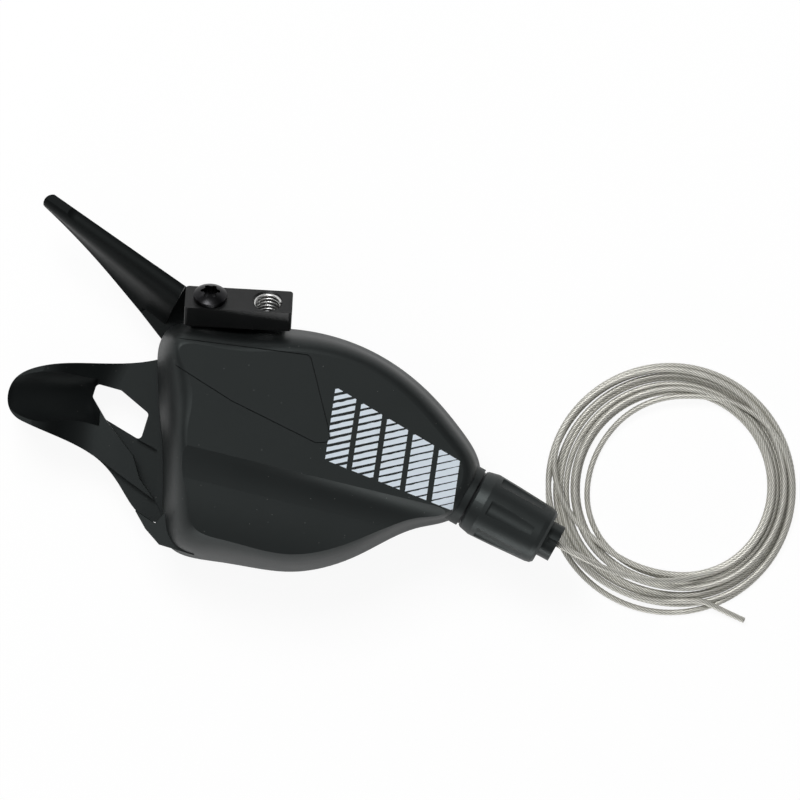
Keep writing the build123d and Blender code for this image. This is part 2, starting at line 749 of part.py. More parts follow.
def drive_pawl_spring():
    radius = DRIVE_POST_THICK + 2 * DRIVE_SPRING_WIRE_R
    return torsion_spring(radius, DRIVE_SPRING_WIRE_R, SPOOL_Z + 2 * RUN_FIT, 2, DRIVE_PIVOT)


# Release lever
def cam_points():
    """The follower's path seen from the turning disc, less the pin's radius."""
    points = []
    steps = 6
    for step in range(steps + 1):
        share = step / steps
        x, y = follower_at(HOLD_LIFT * share)
        radius = hypot(x, y) - FOLLOWER_R - PAWL_GAP * 2
        angle = degrees(atan2(y, x)) - RELEASE_SWING * share
        points.append(polar(radius, angle))
    return points


def release_cam():
    ramp = cam_points()
    first = degrees(atan2(ramp[0][1], ramp[0][0]))
    last = degrees(atan2(ramp[-1][1], ramp[-1][0]))
    peak = hypot(*ramp[-1])
    base = hypot(*ramp[0])
    lobe = make_face(
        [
            Spline(*ramp),
            ThreePointArc(ramp[-1], polar(peak, last - 4), polar(peak, last - 8)),
            Polyline(polar(peak, last - 8), (0, 0), polar(base, first + 8)),
            ThreePointArc(polar(base, first + 8), polar(base, first + 4), ramp[0]),
        ]
    )
    return prism(lobe, DISC_Z, DISC_Z + DISC)


def blade_outline():
    return make_face(
        [
            Line(BLADE_TOP, BLADE_ROOT_TOP),
            Line(BLADE_ROOT_TOP, BLADE_ROOT_LOW),
            Spline(BLADE_ROOT_LOW, *BLADE_LOW, BLADE_TIP),
            ThreePointArc(BLADE_TIP, BLADE_NOSE, BLADE_TOP),
        ]
    )


RIDGE_RUN = (RIDGE_ROOT[0] - RIDGE_TIP[0], RIDGE_ROOT[1] - RIDGE_TIP[1])
RIDGE_LENGTH = hypot(*RIDGE_RUN)
RIDGE_ALONG = (RIDGE_RUN[0] / RIDGE_LENGTH, RIDGE_RUN[1] / RIDGE_LENGTH)


def ridge_plane(station):
    """Square to the ridge; its x runs towards the blade's straight back edge and its y upwards."""
    x = RIDGE_TIP[0] + RIDGE_RUN[0] * station
    y = RIDGE_TIP[1] + RIDGE_RUN[1] * station
    return Plane(origin=(x, y, BLADE_HEIGHT), x_dir=(-RIDGE_ALONG[1], RIDGE_ALONG[0], 0), z_dir=(*RIDGE_ALONG, 0))


def blade_section(station):
    """A flat band behind the ridge and a thumb face that rolls over it and hollows as it falls."""
    width = FACE_WIDTH_TIP + (FACE_WIDTH_ROOT - FACE_WIDTH_TIP) * station
    drop = FACE_DROP_TIP + (FACE_DROP_ROOT - FACE_DROP_TIP) * station
    ridge = (RIDGE_BACK, 0.0)
    roll = (-0.12 * width, -0.1 * drop)
    hollow = (-0.45 * width, -0.55 * drop)
    foot = (-width, -drop)
    inner_foot = (foot[0] + BLADE_THICK, -drop)
    inner_hollow = (hollow[0] + BLADE_THICK, hollow[1])
    inner_top = (RIDGE_BACK, -BAND_THICK)
    edge = (BAND_WIDTH - BAND_EDGE, 0.0)
    outline = [
        Spline(ridge, roll, hollow, foot),
        Line(foot, inner_foot),
        Spline(inner_foot, inner_hollow, inner_top),
        Polyline(inner_top, (BAND_WIDTH, -BAND_THICK), (BAND_WIDTH, -BAND_EDGE), edge, ridge),
    ]
    return ridge_plane(station) * make_face(outline)


def blade_channel():
    """A shallow round groove along the band that starts short of the tip."""
    across = (BAND_WIDTH + RIDGE_BACK) / 2 - 0.2
    lift = CHANNEL_R - CHANNEL_DEPTH
    start = ridge_plane(0) * Pos(across, lift, CHANNEL_FROM)
    groove = start * Cylinder(CHANNEL_R, RIDGE_LENGTH, align=STAND)
    return groove + start * Sphere(CHANNEL_R)


def release_lever():
    blade = loft([blade_section(-0.12), blade_section(1.12)], ruled=True)
    blade = blade & prism(blade_outline(), 0, WORLD)
    blade -= blade_channel()
    blade -= disc(BLADE_CLEAR_R, DISC_Z + DISC, WORLD)
    blade -= disc(BLADE_CLEAR_R, 0, DISC_Z)
    root = [polar(DISC_R - 2, 160), polar(RELEASE_ARM_R, 134.5), BLADE_LOW[0], BLADE_ROOT_TOP]
    arm = polygon([*root, polar(RELEASE_ARM_R, 116), polar(DISC_R - 2, 95)])
    lever = disc(DISC_R, DISC_Z, DISC_Z + DISC) + prism(arm, DISC_Z, DISC_Z + DISC) + release_cam()
    lever += blade
    lever += blade_rib()
    spring_well = disc(DISC_R - SPRING_WELL_RIM, DISC_Z + SPRING_WELL_FLOOR, DISC_Z + DISC + 1)
    lever -= spring_well - disc(bush_outer() + HUB_WALL, DISC_Z, DISC_Z + DISC + 1)
    return lever - disc(bush_outer() + SEAT_FIT, DISC_Z - 1, DISC_Z + DISC + 1)


def blade_rib():
    """A web under the band that ties it down to the arm."""
    corners = [(RIB_FROM, 0.0), (RIB_TO, 0.0), (RIB_TO, BAND_WIDTH), (RIB_FROM, BAND_WIDTH)]
    places = [ridge_plane(station).from_local_coords(Vector(across, 0, 0)) for station, across in corners]
    rib = prism(polygon([(place.X, place.Y) for place in places]), DISC_Z, BLADE_HEIGHT - BAND_THICK / 2)
    rib = rib & prism(blade_outline(), 0, WORLD)
    return rib - disc(BLADE_CLEAR_R, DISC_Z + DISC, WORLD) - disc(BLADE_CLEAR_R, 0, DISC_Z)


def release_bush():
    return ring(bush_outer(), SPINDLE_R + RUN_FIT, DISC_Z, DISC_Z + DISC + GAP - 0.1)


def release_spring():
    return torsion_spring(RELEASE_SPRING_R, RELEASE_SPRING_WIRE_R, DISC_Z + SPRING_WELL_FLOOR + RUN_FIT, 1.4)


# Pull lever
def rise_cut(floor, first_r):
    """What lies above the lever's top, a ramp about the spindle from the arms up to the pad."""
    foot = LEVER_Z + LEVER_HUB
    points = [(first_r, floor)] + [(ARM_KEEP_R + run, max(floor, foot + up)) for run, up in PAD_RISE]
    far = ARM_KEEP_R + 4 * PAD_RISE[-1][0]
    ramp = Spline(*points, tangents=[(1, 0), (1, 0.2)])
    shape = [
        Line((0, floor), points[0]),
        ramp,
        Polyline(points[-1], (far, PAD_TOP), (far, WORLD), (0, WORLD), (0, floor)),
    ]
    return revolve(Plane.XZ * make_face(shape), Axis.Z)


def scoop():
    """A round groove for the thumb, open towards the window and closed by a ball at the far end."""
    lift = SCOOP_R * cos(atan2(SCOOP_WIDTH / 2, SCOOP_R))
    start = Vector(*SCOOP_FROM, PAD_TOP - SCOOP_SINK + lift)
    end = Vector(*SCOOP_TO, PAD_TOP - SCOOP_SINK + lift - SCOOP_TILT)
    run = end - start
    place = Plane(origin=start, z_dir=run)
    return place * Cylinder(SCOOP_R, run.length, align=STAND) + place * Sphere(SCOOP_R)


def facet():
    """The slope along the lower arm's outer edge."""
    start, end = FACET
    run = (end[0] - start[0], end[1] - start[1])
    length = hypot(*run)
    along = (run[0] / length, run[1] / length)
    place = Plane(origin=(*start, LOW_ARM_TOP), x_dir=(along[1], -along[0], 0), z_dir=(*along, 0))
    wedge = polygon([(0, 0), (FACET_RUN, -FACET_DROP), (4 * FACET_RUN, -FACET_DROP), (4 * FACET_RUN, 2), (0, 2)])
    return place * Pos(0, 0, -2) * extrude(wedge, amount=2 * length)


def pull_lever():
    top_edge = Spline(PAD_UNDER[-1], *PAD_OUTLINE)
    root_edge = Line(PAD_OUTLINE[-1], PAD_UNDER[0])
    body = prism(make_face([top_edge, root_edge, Spline(*PAD_UNDER)]), LEVER_Z, PAD_TOP)
    low_side = polygon([SCOOP_TO, WEB[1], PAD_UNDER[0], (-WORLD, -WORLD), (-WORLD, PAD_UNDER[-1][1])])
    lower = body & prism(low_side, 0, WORLD)
    upper = body - prism(low_side, 0, WORLD)
    lower -= rise_cut(LOW_ARM_TOP, ARM_KEEP_R - 4)
    upper -= rise_cut(LEVER_Z + LEVER_HUB, ARM_KEEP_R - 1)
    body = lower + upper
    body -= scoop()
    body -= facet()
    for end in POCKET_ENDS:
        body -= disc(POCKET_R, LEVER_Z - 1, POCKET_TOP, end)
    window = polygon(WINDOW)
    window = fillet(window.vertices(), WINDOW_CORNER)
    body -= prism(window, LEVER_Z - 1, PAD_TOP + 1)
    hub = disc(LEVER_HUB_R, LEVER_Z, LEVER_Z + LEVER_HUB)
    root_r = LEVER_HUB_R - 2
    lug_sides = [polar(root_r, DRIVE_POST_ANGLE - LUG_SPREAD), polar(root_r, DRIVE_POST_ANGLE + LUG_SPREAD)]
    lug_root = polygon([lug_sides[0], DRIVE_PIVOT, lug_sides[1], (0, 0)])
    lug = prism(lug_root, LEVER_Z, LEVER_Z + LEVER_HUB)
    lug += disc(DRIVE_EYE_R + 0.2, LEVER_Z, LEVER_Z + LEVER_HUB, DRIVE_PIVOT)
    arms = polygon([polar(LEVER_HUB_R - 0.1, 122), PAD_OUTLINE[-1], PAD_UNDER[0], polar(LEVER_HUB_R - 0.1, 250)])
    plate = hub + lug + prism(arms, LEVER_Z, LEVER_Z + LEVER_HUB)
    lever = body + plate
    lever -= prism(polygon(WEB), LEVER_Z + WEB_THICK, PAD_TOP + 1)
    lever -= disc(DRIVE_POST_THICK + SEAT_FIT, LEVER_Z - 1, LEVER_Z + LEVER_HUB + 1, DRIVE_PIVOT)
    return lever - disc(bush_outer() + SEAT_FIT, LEVER_Z - 1, LEVER_Z + LEVER_HUB + 1)


def lever_bush():
    return ring(bush_outer(), SPINDLE_R + RUN_FIT, LEVER_Z, LEVER_Z + LEVER_HUB)


def lever_spring():
    return torsion_spring(LEVER_SPRING_R, LEVER_SPRING_WIRE_R, FLOOR + 2 * RUN_FIT, 3)


# Clamp bracket
BAR_NORMAL = (sin(radians(BAR_LEAN)), cos(radians(BAR_LEAN)))
BAR_FACE_Z = BAR_TOP - BAR_FACE / 2 * BAR_NORMAL[0]
BAR_PLACE = Pos(*BAR_AT, BAR_FACE_Z) * Rot(0, 0, BAR_TURN) * Rot(-BAR_LEAN, 0, 0)
BOLT_X = -HOLE_SPACING / 2
THREAD_X = HOLE_SPACING / 2


def bar_section():
    """The corner of the bar that is nearest to the cover, in the plan's y and z."""
    inner_y = -BAR_FACE / 2 * BAR_NORMAL[1] - BAR_THICK * BAR_NORMAL[0]
    inner_z = BAR_FACE / 2 * BAR_NORMAL[0] - BAR_THICK * BAR_NORMAL[1]
    return inner_y, inner_z


def bracket_leg():
    inner_y, inner_z = bar_section()
    leg_y = inner_y + LEG_SET_IN
    foot_z = PLATE_TOP - BAR_FACE_Z
    profile = polygon(
        [
            (leg_y, foot_z),
            (leg_y + LEG_THICK, foot_z),
            (leg_y + LEG_THICK, inner_z - 3.3),
            (leg_y + LEG_THICK - 0.2, inner_z + 0.4),
            (leg_y, inner_z - 0.9),
        ]
    )
    leg = Plane.YZ * extrude(profile, amount=LEG_WIDTH / 2, both=True)
    foot = Pos(0, leg_y - FOOT_DEPTH / 2 + 0.2, foot_z) * Box(LEG_WIDTH, FOOT_DEPTH + 0.4, FOOT_THICK, align=STAND)
    return Pos(*BAR_AT, BAR_FACE_Z) * Rot(0, 0, BAR_TURN) * (leg + foot)


def bracket_notch():
    """The opening in the back of the skirt that the bracket's foot passes through."""
    inner_y, _ = bar_section()
    reach = inner_y + LEG_SET_IN
    opening = Box(LEG_WIDTH + 2 * GAP, FOOT_DEPTH, FOOT_THICK + PLATE + GAP, align=STAND)
    return Pos(*BAR_AT, PLATE_Z) * Rot(0, 0, BAR_TURN) * Pos(0, reach - FOOT_DEPTH / 2 + 1, 0) * opening


def foot_screw_places():
    inner_y, _ = bar_section()
    places = []
    for side in (-1, 1):
        local = (side * FOOT_SCREW_SPACING / 2, inner_y + LEG_SET_IN - FOOT_DEPTH + FOOT_SCREW_BACK)
        turn = radians(BAR_TURN)
        x = BAR_AT[0] + local[0] * cos(turn) - local[1] * sin(turn)
        y = BAR_AT[1] + local[0] * sin(turn) + local[1] * cos(turn)
        places.append((x, y))
    return places


def thread_relief(depth, x):
    """Room behind a hole for the end of its bolt, from the bar's inner face to a depth under its front."""
    room = Cylinder(THREAD_RELIEF_R, depth - BAR_THICK, align=(Align.CENTER, Align.CENTER, Align.MAX))
    return BAR_PLACE * Pos(x, 0, -BAR_THICK) * room


def clamp_bracket():
    bar = Box(BAR_LENGTH, BAR_FACE, BAR_THICK, align=(Align.CENTER, Align.CENTER, Align.MAX))
    bar = fillet(bar.edges().filter_by(Axis.Z), BAR_ROUND)
    bracket = BAR_PLACE * bar + bracket_leg()
    for x in (BOLT_X, THREAD_X):
        bracket -= BAR_PLACE * Pos(x, 0, -BAR_THICK - 1) * Cylinder(THREAD_R, BAR_THICK + 2, align=STAND)
        bracket -= thread_relief(BAR_THICK + 2 * THREAD_RELIEF, x)
    sink = Cone(THREAD_R, THREAD_R + THREAD_SINK, THREAD_SINK, align=(Align.CENTER, Align.CENTER, Align.MAX))
    bracket -= BAR_PLACE * Pos(THREAD_X, 0, 0) * sink
    for at in foot_screw_places():
        bracket -= disc(FOOT_SCREW_R + RUN_FIT, PLATE_TOP - 1, PLATE_TOP + FOOT_THICK + 1, at)
    return bracket


def bracket_bolt():
    """A low dome head with a six-lobed socket, on a shank as long as the bar is thick."""
    rise = BOLT_HEAD * 0.55
    dome_r = (BOLT_HEAD_R**2 + rise**2) / (2 * rise)
    head = Cylinder(BOLT_HEAD_R, BOLT_HEAD, align=STAND)
    head &= Pos(0, 0, BOLT_HEAD - dome_r) * Sphere(dome_r)
    socket = Cylinder(SOCKET_R, BOLT_HEAD, align=STAND)
    for lobe in range(6):
        arm = Pos(SOCKET_R + 0.1, 0, 0) * Cylinder(SOCKET_LOBE_R, BOLT_HEAD, align=STAND)
        socket += Rot(0, 0, 60 * lobe) * arm
    head -= Pos(0, 0, SOCKET_FLOOR) * socket
    shank = Cylinder(THREAD_R - RUN_FIT, BAR_THICK, align=(Align.CENTER, Align.CENTER, Align.MAX))
    return BAR_PLACE * Pos(BOLT_X, 0, 0) * (head + shank)


def bracket_screws():
    screws = []
    for at in foot_screw_places():
        seat = PLATE_TOP + FOOT_THICK
        shank = disc(FOOT_SCREW_R, PLATE_Z, seat, at)
        head = disc(FOOT_SCREW_R + FOOT_SCREW_RIM, seat, seat + FOOT_SCREW_HEAD, at)
        head -= Pos(*at, seat + SOCKET_FLOOR) * extrude(RegularPolygon(1.0, 6), amount=1)
        screws.append(shank + head)
    return Compound(children=screws)


# Barrel adjuster
def adjuster_knob():
    start = ADJUSTER_WASHER + RUN_FIT
    end = ADJUSTER_WASHER + KNOB_LENGTH
    bore = SLEEVE_R + RUN_FIT
    half = [
        (bore, start),
        (KNOB_BASE_R - 0.3, start),
        (KNOB_BASE_R, start + 0.4),
        (KNOB_MAX_R, start + KNOB_SWELL),
        (KNOB_MAX_R - 0.2, end - KNOB_TAPER),
        (KNOB_END_R + 0.2, end - 1.4),
        (KNOB_END_R, end - 0.5),
        (KNOB_END_R - 0.5, end),
        (bore, end),
    ]
    knob = revolve(Plane.XZ * polygon(half), Axis.Z)
    for flute in range(FLUTES):
        length = KNOB_LENGTH - FLUTE_FROM - FLUTE_END
        cut = Pos(KNOB_MAX_R + FLUTE_R - FLUTE_DEPTH, 0, start + FLUTE_FROM) * Cylinder(FLUTE_R, length, align=STAND)
        knob -= Rot(0, 0, flute * 360 / FLUTES) * cut
    return AXIS * knob


def adjuster_sleeve():
    sleeve = on_axis(SLEEVE_R, -NECK_CORE, SLEEVE_END)
    sleeve -= on_axis(SLEEVE_BORE_R, -NECK_CORE - 1, SLEEVE_END + 1)
    inside = SLEEVE_R - SLEEVE_RIM
    sleeve -= on_axis(inside, SLEEVE_END - SLEEVE_PROUD, SLEEVE_END + 1)
    tip = on_axis(inside, SLEEVE_END - SLEEVE_PROUD - 1, SLEEVE_END - SLEEVE_TIP_BACK)
    sleeve += tip - on_axis(SLEEVE_BORE_R, -1, SLEEVE_END + 1)
    for slot in range(SLEEVE_SLOTS):
        cut = Box(SLEEVE_SLOT_WIDTH, SLEEVE_R, SLEEVE_PROUD, align=(Align.CENTER, Align.MIN, Align.MAX))
        cut = Pos(0, inside, SLEEVE_END + GAP) * cut
        sleeve -= AXIS * Rot(0, 0, slot * 360 / SLEEVE_SLOTS) * cut
    return sleeve


def adjuster_washer():
    washer = on_axis(NECK_R - 0.5, 0, ADJUSTER_WASHER)
    return washer - on_axis(SLEEVE_R + RUN_FIT, -1, ADJUSTER_WASHER + 1)


# Shift cable beyond the adjuster
def lead_route():
    """From the sleeve's mouth, on past its travel, and down onto the coil."""
    mouth = AXIS.from_local_coords(Vector(0, 0, SLEEVE_END))
    straight = AXIS.from_local_coords(Vector(0, 0, SLEEVE_END + LEAD_STRAIGHT))
    return [tuple(mouth), tuple(straight)] + list(LEAD_ROUTE)


def bend_radii(points):
    """Each arc is as large as its two runs allow."""
    radii = []
    for before, corner, after in zip(points, points[1:], points[2:]):
        run_in = Vector(*corner) - Vector(*before)
        run_out = Vector(*after) - Vector(*corner)
        turn = run_in.get_angle(run_out)
        shorter = min(run_in.length, run_out.length)
        radii.append(0.45 * shorter / tan(radians(turn / 2)))
    return radii


def cable_lead():
    points = lead_route()
    radii = bend_radii(points)
    path = FilletPolyline(*points, radius=radii)
    section = Plane(path @ 0, z_dir=path % 0) * Circle(CABLE_R)
    return sweep(section, path)


def cable_coil():
    coil = disc(COIL_R, 0, COIL_HEIGHT, COIL_AT)
    coil = chamfer(coil.edges(), COIL_ROUND)
    return coil - disc(COIL_HOLE_R, -1, COIL_HEIGHT + 1, COIL_HOLE_AT)


def cable_tail():
    path = Line(TAIL_FROM, TAIL_TO)
    return sweep(Plane(path @ 0, z_dir=path % 0) * Circle(CABLE_R), path)


def main():
    outer = outer_form()
    pieces = {
        "upper_cover": upper_cover(outer),
        "cable_hatch": cable_hatch(outer),
        "lower_cover": lower_cover(),
        "base_plate": base_plate(),
        "clamp_bracket": clamp_bracket(),
        "bracket_bolt": bracket_bolt(),
        "bracket_screws": bracket_screws(),
        "cover_screws": cover_screws(),
        "spindle": spindle(),
        "spindle_nut": spindle_nut(),
        "spindle_washer": spindle_washer(),
        "spacer_washer": spacer_washer(),
        "spindle_clip": spindle_clip(),
        "ratchet_wheel": ratchet_wheel(),
        "cable_spool": cable_spool(),
        "spool_bush": spool_bush(),
        "spool_spring": spool_spring(),
        "cable_head": cable_head(),
        "cable_inner": cable_inner(),
        "hold_pawl": hold_pawl(),
        "hold_pawl_pin": hold_pawl_pin(),
        "hold_pawl_spring": hold_pawl_spring(),
        "drive_pawl": drive_pawl(),
        "drive_pawl_post": drive_pawl_post(),
        "drive_pawl_spring": drive_pawl_spring(),
        "release_lever": release_lever(),
        "release_bush": release_bush(),
        "release_spring": release_spring(),
        "pull_lever": pull_lever(),
        "lever_bush": lever_bush(),
        "lever_spring": lever_spring(),
        "adjuster_knob": adjuster_knob(),
        "adjuster_sleeve": adjuster_sleeve(),
        "adjuster_washer": adjuster_washer(),
        "cable_lead": cable_lead(),
        "cable_coil": cable_coil(),
        "cable_tail": cable_tail(),
    }
    for name, piece in pieces.items():
        export_step(piece, f"parts/{name}.step")


if __name__ == "__main__":
    main()
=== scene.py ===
"""Looks of the trigger gear shifter, in metres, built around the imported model."""

from math import cos, exp, pi, radians, sin, sqrt

import bpy
import numpy as np
from mathutils import Matrix, Vector


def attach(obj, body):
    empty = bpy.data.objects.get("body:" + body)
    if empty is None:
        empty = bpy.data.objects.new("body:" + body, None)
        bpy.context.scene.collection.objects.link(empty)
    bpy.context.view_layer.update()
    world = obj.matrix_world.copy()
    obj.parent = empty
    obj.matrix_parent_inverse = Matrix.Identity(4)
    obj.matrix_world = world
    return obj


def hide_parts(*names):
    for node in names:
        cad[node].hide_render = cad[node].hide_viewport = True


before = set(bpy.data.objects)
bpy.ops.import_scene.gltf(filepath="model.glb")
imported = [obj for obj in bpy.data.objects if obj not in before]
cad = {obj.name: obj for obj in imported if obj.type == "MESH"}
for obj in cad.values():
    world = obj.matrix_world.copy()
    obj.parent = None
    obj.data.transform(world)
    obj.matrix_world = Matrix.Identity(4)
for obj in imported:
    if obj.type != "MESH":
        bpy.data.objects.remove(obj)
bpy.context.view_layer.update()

MM = 0.001
scene = bpy.context.scene
scene.view_settings.view_transform = "Standard"


# Camera
# The photograph looks straight down on the shifter from far off, so the lens is long and stands well above
# the table, over the middle of the picture.
PICTURE_WIDTH = 150.9 * MM
PICTURE_CENTRE = (24.9 * MM, 9.4 * MM)
# The height at which the picture is that wide, and how far the camera stands above it.
PICTURE_LEVEL = 0.02
CAMERA_HEIGHT = 2.4
SENSOR = 36.0
CLIP_NEAR = 0.05
CLIP_FAR = 20.0

camera_data = bpy.data.cameras.new("studio_camera")
camera_data.sensor_width = SENSOR
camera_data.lens = SENSOR * CAMERA_HEIGHT / PICTURE_WIDTH
camera_data.clip_start = CLIP_NEAR
camera_data.clip_end = CLIP_FAR
camera = bpy.data.objects.new("studio_camera", camera_data)
camera.location = (*PICTURE_CENTRE, CAMERA_HEIGHT + PICTURE_LEVEL)
scene.collection.objects.link(camera)
scene.camera = camera


# Studio
# A white sweep under a sky that is bright overhead, dark at mid height and white round the edge, with one
# high soft box and three low ones. Flat black tops read dark grey, gentle slopes darker and steep edges
# light.
FLOOR_SIZE = 6.0
FLOOR_DROP = 0.02 * MM
FLOOR_TONE = 0.88
FLOOR_GLOW = 1.04
# How much of that plain white the camera sees on the floor, and how much glossy faces mirror of it.
FLOOR_SEEN = 0.88
FLOOR_MIRRORED = 0.4
# Brightness of the sky by height: 0 is the edge and 1 is straight overhead.
SKY = ((0.0, 1.0), (0.1, 0.75), (0.28, 0.14), (0.62, 0.1), (0.82, 0.32), (1.0, 0.62))
# Each soft box has a name, a place, a width and height, and watts. All of them face one point.
SOFT_BOXES = (
    ("high_box", (-0.25, 0.55, 1.05), (0.45, 0.45), 7.5),
    ("front_box", (-0.1, -1.0, 0.13), (0.8, 0.2), 3.0),
    ("back_box", (-0.25, 0.9, 0.2), (0.7, 0.2), 0.6),
    ("side_box", (-1.0, 0.15, 0.16), (0.2, 0.6), 0.8),
)
BOX_AIM = (0.02, 0.0, 0.01)


class Link:
    """A socket of a shader tree. Sums, products and the like on it add Math nodes."""

    def __init__(self, finish, socket):
        self.finish = finish
        self.socket = socket

    def maths(self, operation, *others):
        values = dict(enumerate((self, *others)))
        return self.finish.node("Math", {"operation": operation}, values)

    def __add__(self, other):
        return self.maths("ADD", other)

    __radd__ = __add__

    def __mul__(self, other):
        return self.maths("MULTIPLY", other)

    __rmul__ = __mul__

    def __sub__(self, other):
        return self.maths("SUBTRACT", other)

    def __rsub__(self, other):
        return self * -1 + other

    def __truediv__(self, other):
        return self.maths("DIVIDE", other)

    def below(self, limit):
        return self.maths("LESS_THAN", limit)

    def above(self, limit):
        return self.maths("GREATER_THAN", limit)

    def wave(self):
        """How far the value has run into its present whole number, from 0 to 1."""
        return self.maths("FRACT")


class Finish:
    """One material. Values that are the same all over sit on the shader's own sockets."""

    def __init__(self, name, shader="BsdfPrincipled", **constants):
        self.material = bpy.data.materials.new(name)
        self.material.use_nodes = True
        self.tree = self.material.node_tree
        self.tree.nodes.clear()
        self.shader = self.tree.nodes.new("ShaderNode" + shader)
        self.end = self.tree.nodes.new("ShaderNodeOutputMaterial")
        self.tree.links.new(self.shader.outputs[0], self.end.inputs["Surface"])
        for key, value in constants.items():
            self.shader.inputs[key.replace("_", " ")].default_value = value

    def node(self, kind, settings=None, sockets=None, output=0):
        made = self.tree.nodes.new("ShaderNode" + kind)
        for key, value in (settings or {}).items():
            if key == "stops":
                set_stops(made.color_ramp, value)
            else:
                setattr(made, key, value)
        for key, value in (sockets or {}).items():
            if isinstance(value, Link):
                self.tree.links.new(value.socket, made.inputs[key])
            else:
                made.inputs[key].default_value = value
        return Link(self, made.outputs[output])

    def feed(self, name, value):
        self.tree.links.new(value.socket, self.shader.inputs[name])

    def place(self):
        """Object coordinates, and their three parts, in millimetres."""
        point = self.node("TexCoord", None, None, "Object")
        scaled = self.node("VectorMath", {"operation": "SCALE"}, {0: point, "Scale": 1 / MM})
        parts = self.node("SeparateXYZ", None, {0: scaled})
        return scaled, [Link(self, socket) for socket in parts.socket.node.outputs]

    def noise(self, point, scale, detail=2.0, seed=0.0):
        moved = self.node("VectorMath", {"operation": "ADD"}, {0: point, 1: (seed, 2.3 * seed, -seed)})
        return self.node("TexNoise", None, {"Vector": moved, "Scale": scale, "Detail": detail})

    def mix(self, factor, first, second):
        """One colour or the other; each may be a tuple or a link."""
        return self.node("MixRGB", None, {0: factor, 1: first, 2: second})

    def bump(self, height, depth):
        """Relief of the given depth in millimetres."""
        sockets = {"Height": height, "Distance": depth * MM, "Strength": 1.0}
        self.feed("Normal", self.node("Bump", None, sockets))


def set_stops(ramp, stops):
    while len(ramp.elements) < len(stops):
        ramp.elements.new(0.5)
    for element, (place, colour) in zip(ramp.elements, stops):
        element.position = place
        element.color = colour


def grey(value):
    return (value, value, value, 1.0)


def new_piece(name, vertices, faces, material, smooth=True):
    """A mesh object at the origin, linked to the scene."""
    mesh = bpy.data.meshes.new(name)
    mesh.from_pydata([tuple(v) for v in vertices], [], [tuple(f) for f in faces])
    mesh.materials.append(material)
    mesh.polygons.foreach_set("use_smooth", [smooth] * len(mesh.polygons))
    piece = bpy.data.objects.new(name, mesh)
    scene.collection.objects.link(piece)
    return piece


def sweep_finish():
    finish = Finish("sweep_white", "BsdfDiffuse", Color=grey(FLOOR_TONE))
    plain = finish.node("Emission", None, {"Color": grey(1.0), "Strength": FLOOR_GLOW})
    seen = finish.node("LightPath", None, None, "Is Camera Ray")
    mirrored = finish.node("LightPath", None, None, "Is Glossy Ray")
    through = finish.node("LightPath", None, None, "Is Transmission Ray")
    share = (seen * FLOOR_SEEN + mirrored * FLOOR_MIRRORED + through).maths("MINIMUM", 1.0)
    lit = Link(finish, finish.shader.outputs[0])
    mixed = finish.node("MixShader", None, {0: share, 1: lit, 2: plain})
    finish.tree.links.new(mixed.socket, finish.end.inputs["Surface"])
    return finish.material


def studio_sky():
    world = bpy.data.worlds.new("studio_sky")
    world.use_nodes = True
    tree = world.node_tree
    background = tree.nodes["Background"]
    place = tree.nodes.new("ShaderNodeTexCoord")
    parts = tree.nodes.new("ShaderNodeSeparateXYZ")
    ramp = tree.nodes.new("ShaderNodeValToRGB")
    seen = tree.nodes.new("ShaderNodeLightPath")
    white = tree.nodes.new("ShaderNodeMixRGB")
    set_stops(ramp.color_ramp, [(height, grey(brightness)) for height, brightness in SKY])
    white.inputs[2].default_value = grey(1.0)
    tree.links.new(place.outputs["Generated"], parts.inputs[0])
    tree.links.new(parts.outputs["Z"], ramp.inputs[0])
    tree.links.new(seen.outputs["Is Camera Ray"], white.inputs[0])
    tree.links.new(ramp.outputs[0], white.inputs[1])
    tree.links.new(white.outputs[0], background.inputs["Color"])
    return world


def soft_box(name, place, size, watts):
    """A rectangular lamp that faces the middle of the object."""
    data = bpy.data.lights.new(name, "AREA")
    data.shape = "RECTANGLE"
    data.size, data.size_y = size
    data.energy = watts
    lamp = bpy.data.objects.new(name, data)
    lamp.location = place
    lamp.rotation_mode = "QUATERNION"
    lamp.rotation_quaternion = (Vector(place) - Vector(BOX_AIM)).to_track_quat("Z", "Y")
    scene.collection.objects.link(lamp)


half = FLOOR_SIZE / 2
sides = [(-half, -half), (half, -half), (half, half), (-half, half)]
corners = [(x, y, -FLOOR_DROP) for x, y in sides]
sweep = new_piece("studio_floor", corners, [(0, 1, 2, 3)], sweep_finish(), False)
scene.world = studio_sky()
for box in SOFT_BOXES:
    soft_box(*box)


# Lower cover
# Injection-moulded black nylon with glass fibre. It is the dish under the mechanism that the levers come
# out of, held to the upper cover by three screws from below.
NYLON = (0.0052, 0.0062, 0.0064, 1)
NYLON_PALE = (0.0085, 0.0097, 0.0099, 1)
NYLON_SHEEN = (0.87, 0.97, 0.96, 1)
DUST = (0.11, 0.11, 0.105, 1)
# Cells of dust a millimetre, a speck's radius as a share of a cell, and how thickly it covers.
DUST_CELLS = 0.55
DUST_SPECK = 0.045
DUST_COVER = 0.8
# Here and below, a noise's scale is in cells a millimetre, its rough is what it adds to the roughness
# and its depth is in millimetres. Two noises add about NOISE_MIDDLE on average, which is taken off.
FLOW_SCALE = 0.09
FLOW_ROUGH = 0.14
FINE_ROUGH = 0.06
NOISE_MIDDLE = 0.1


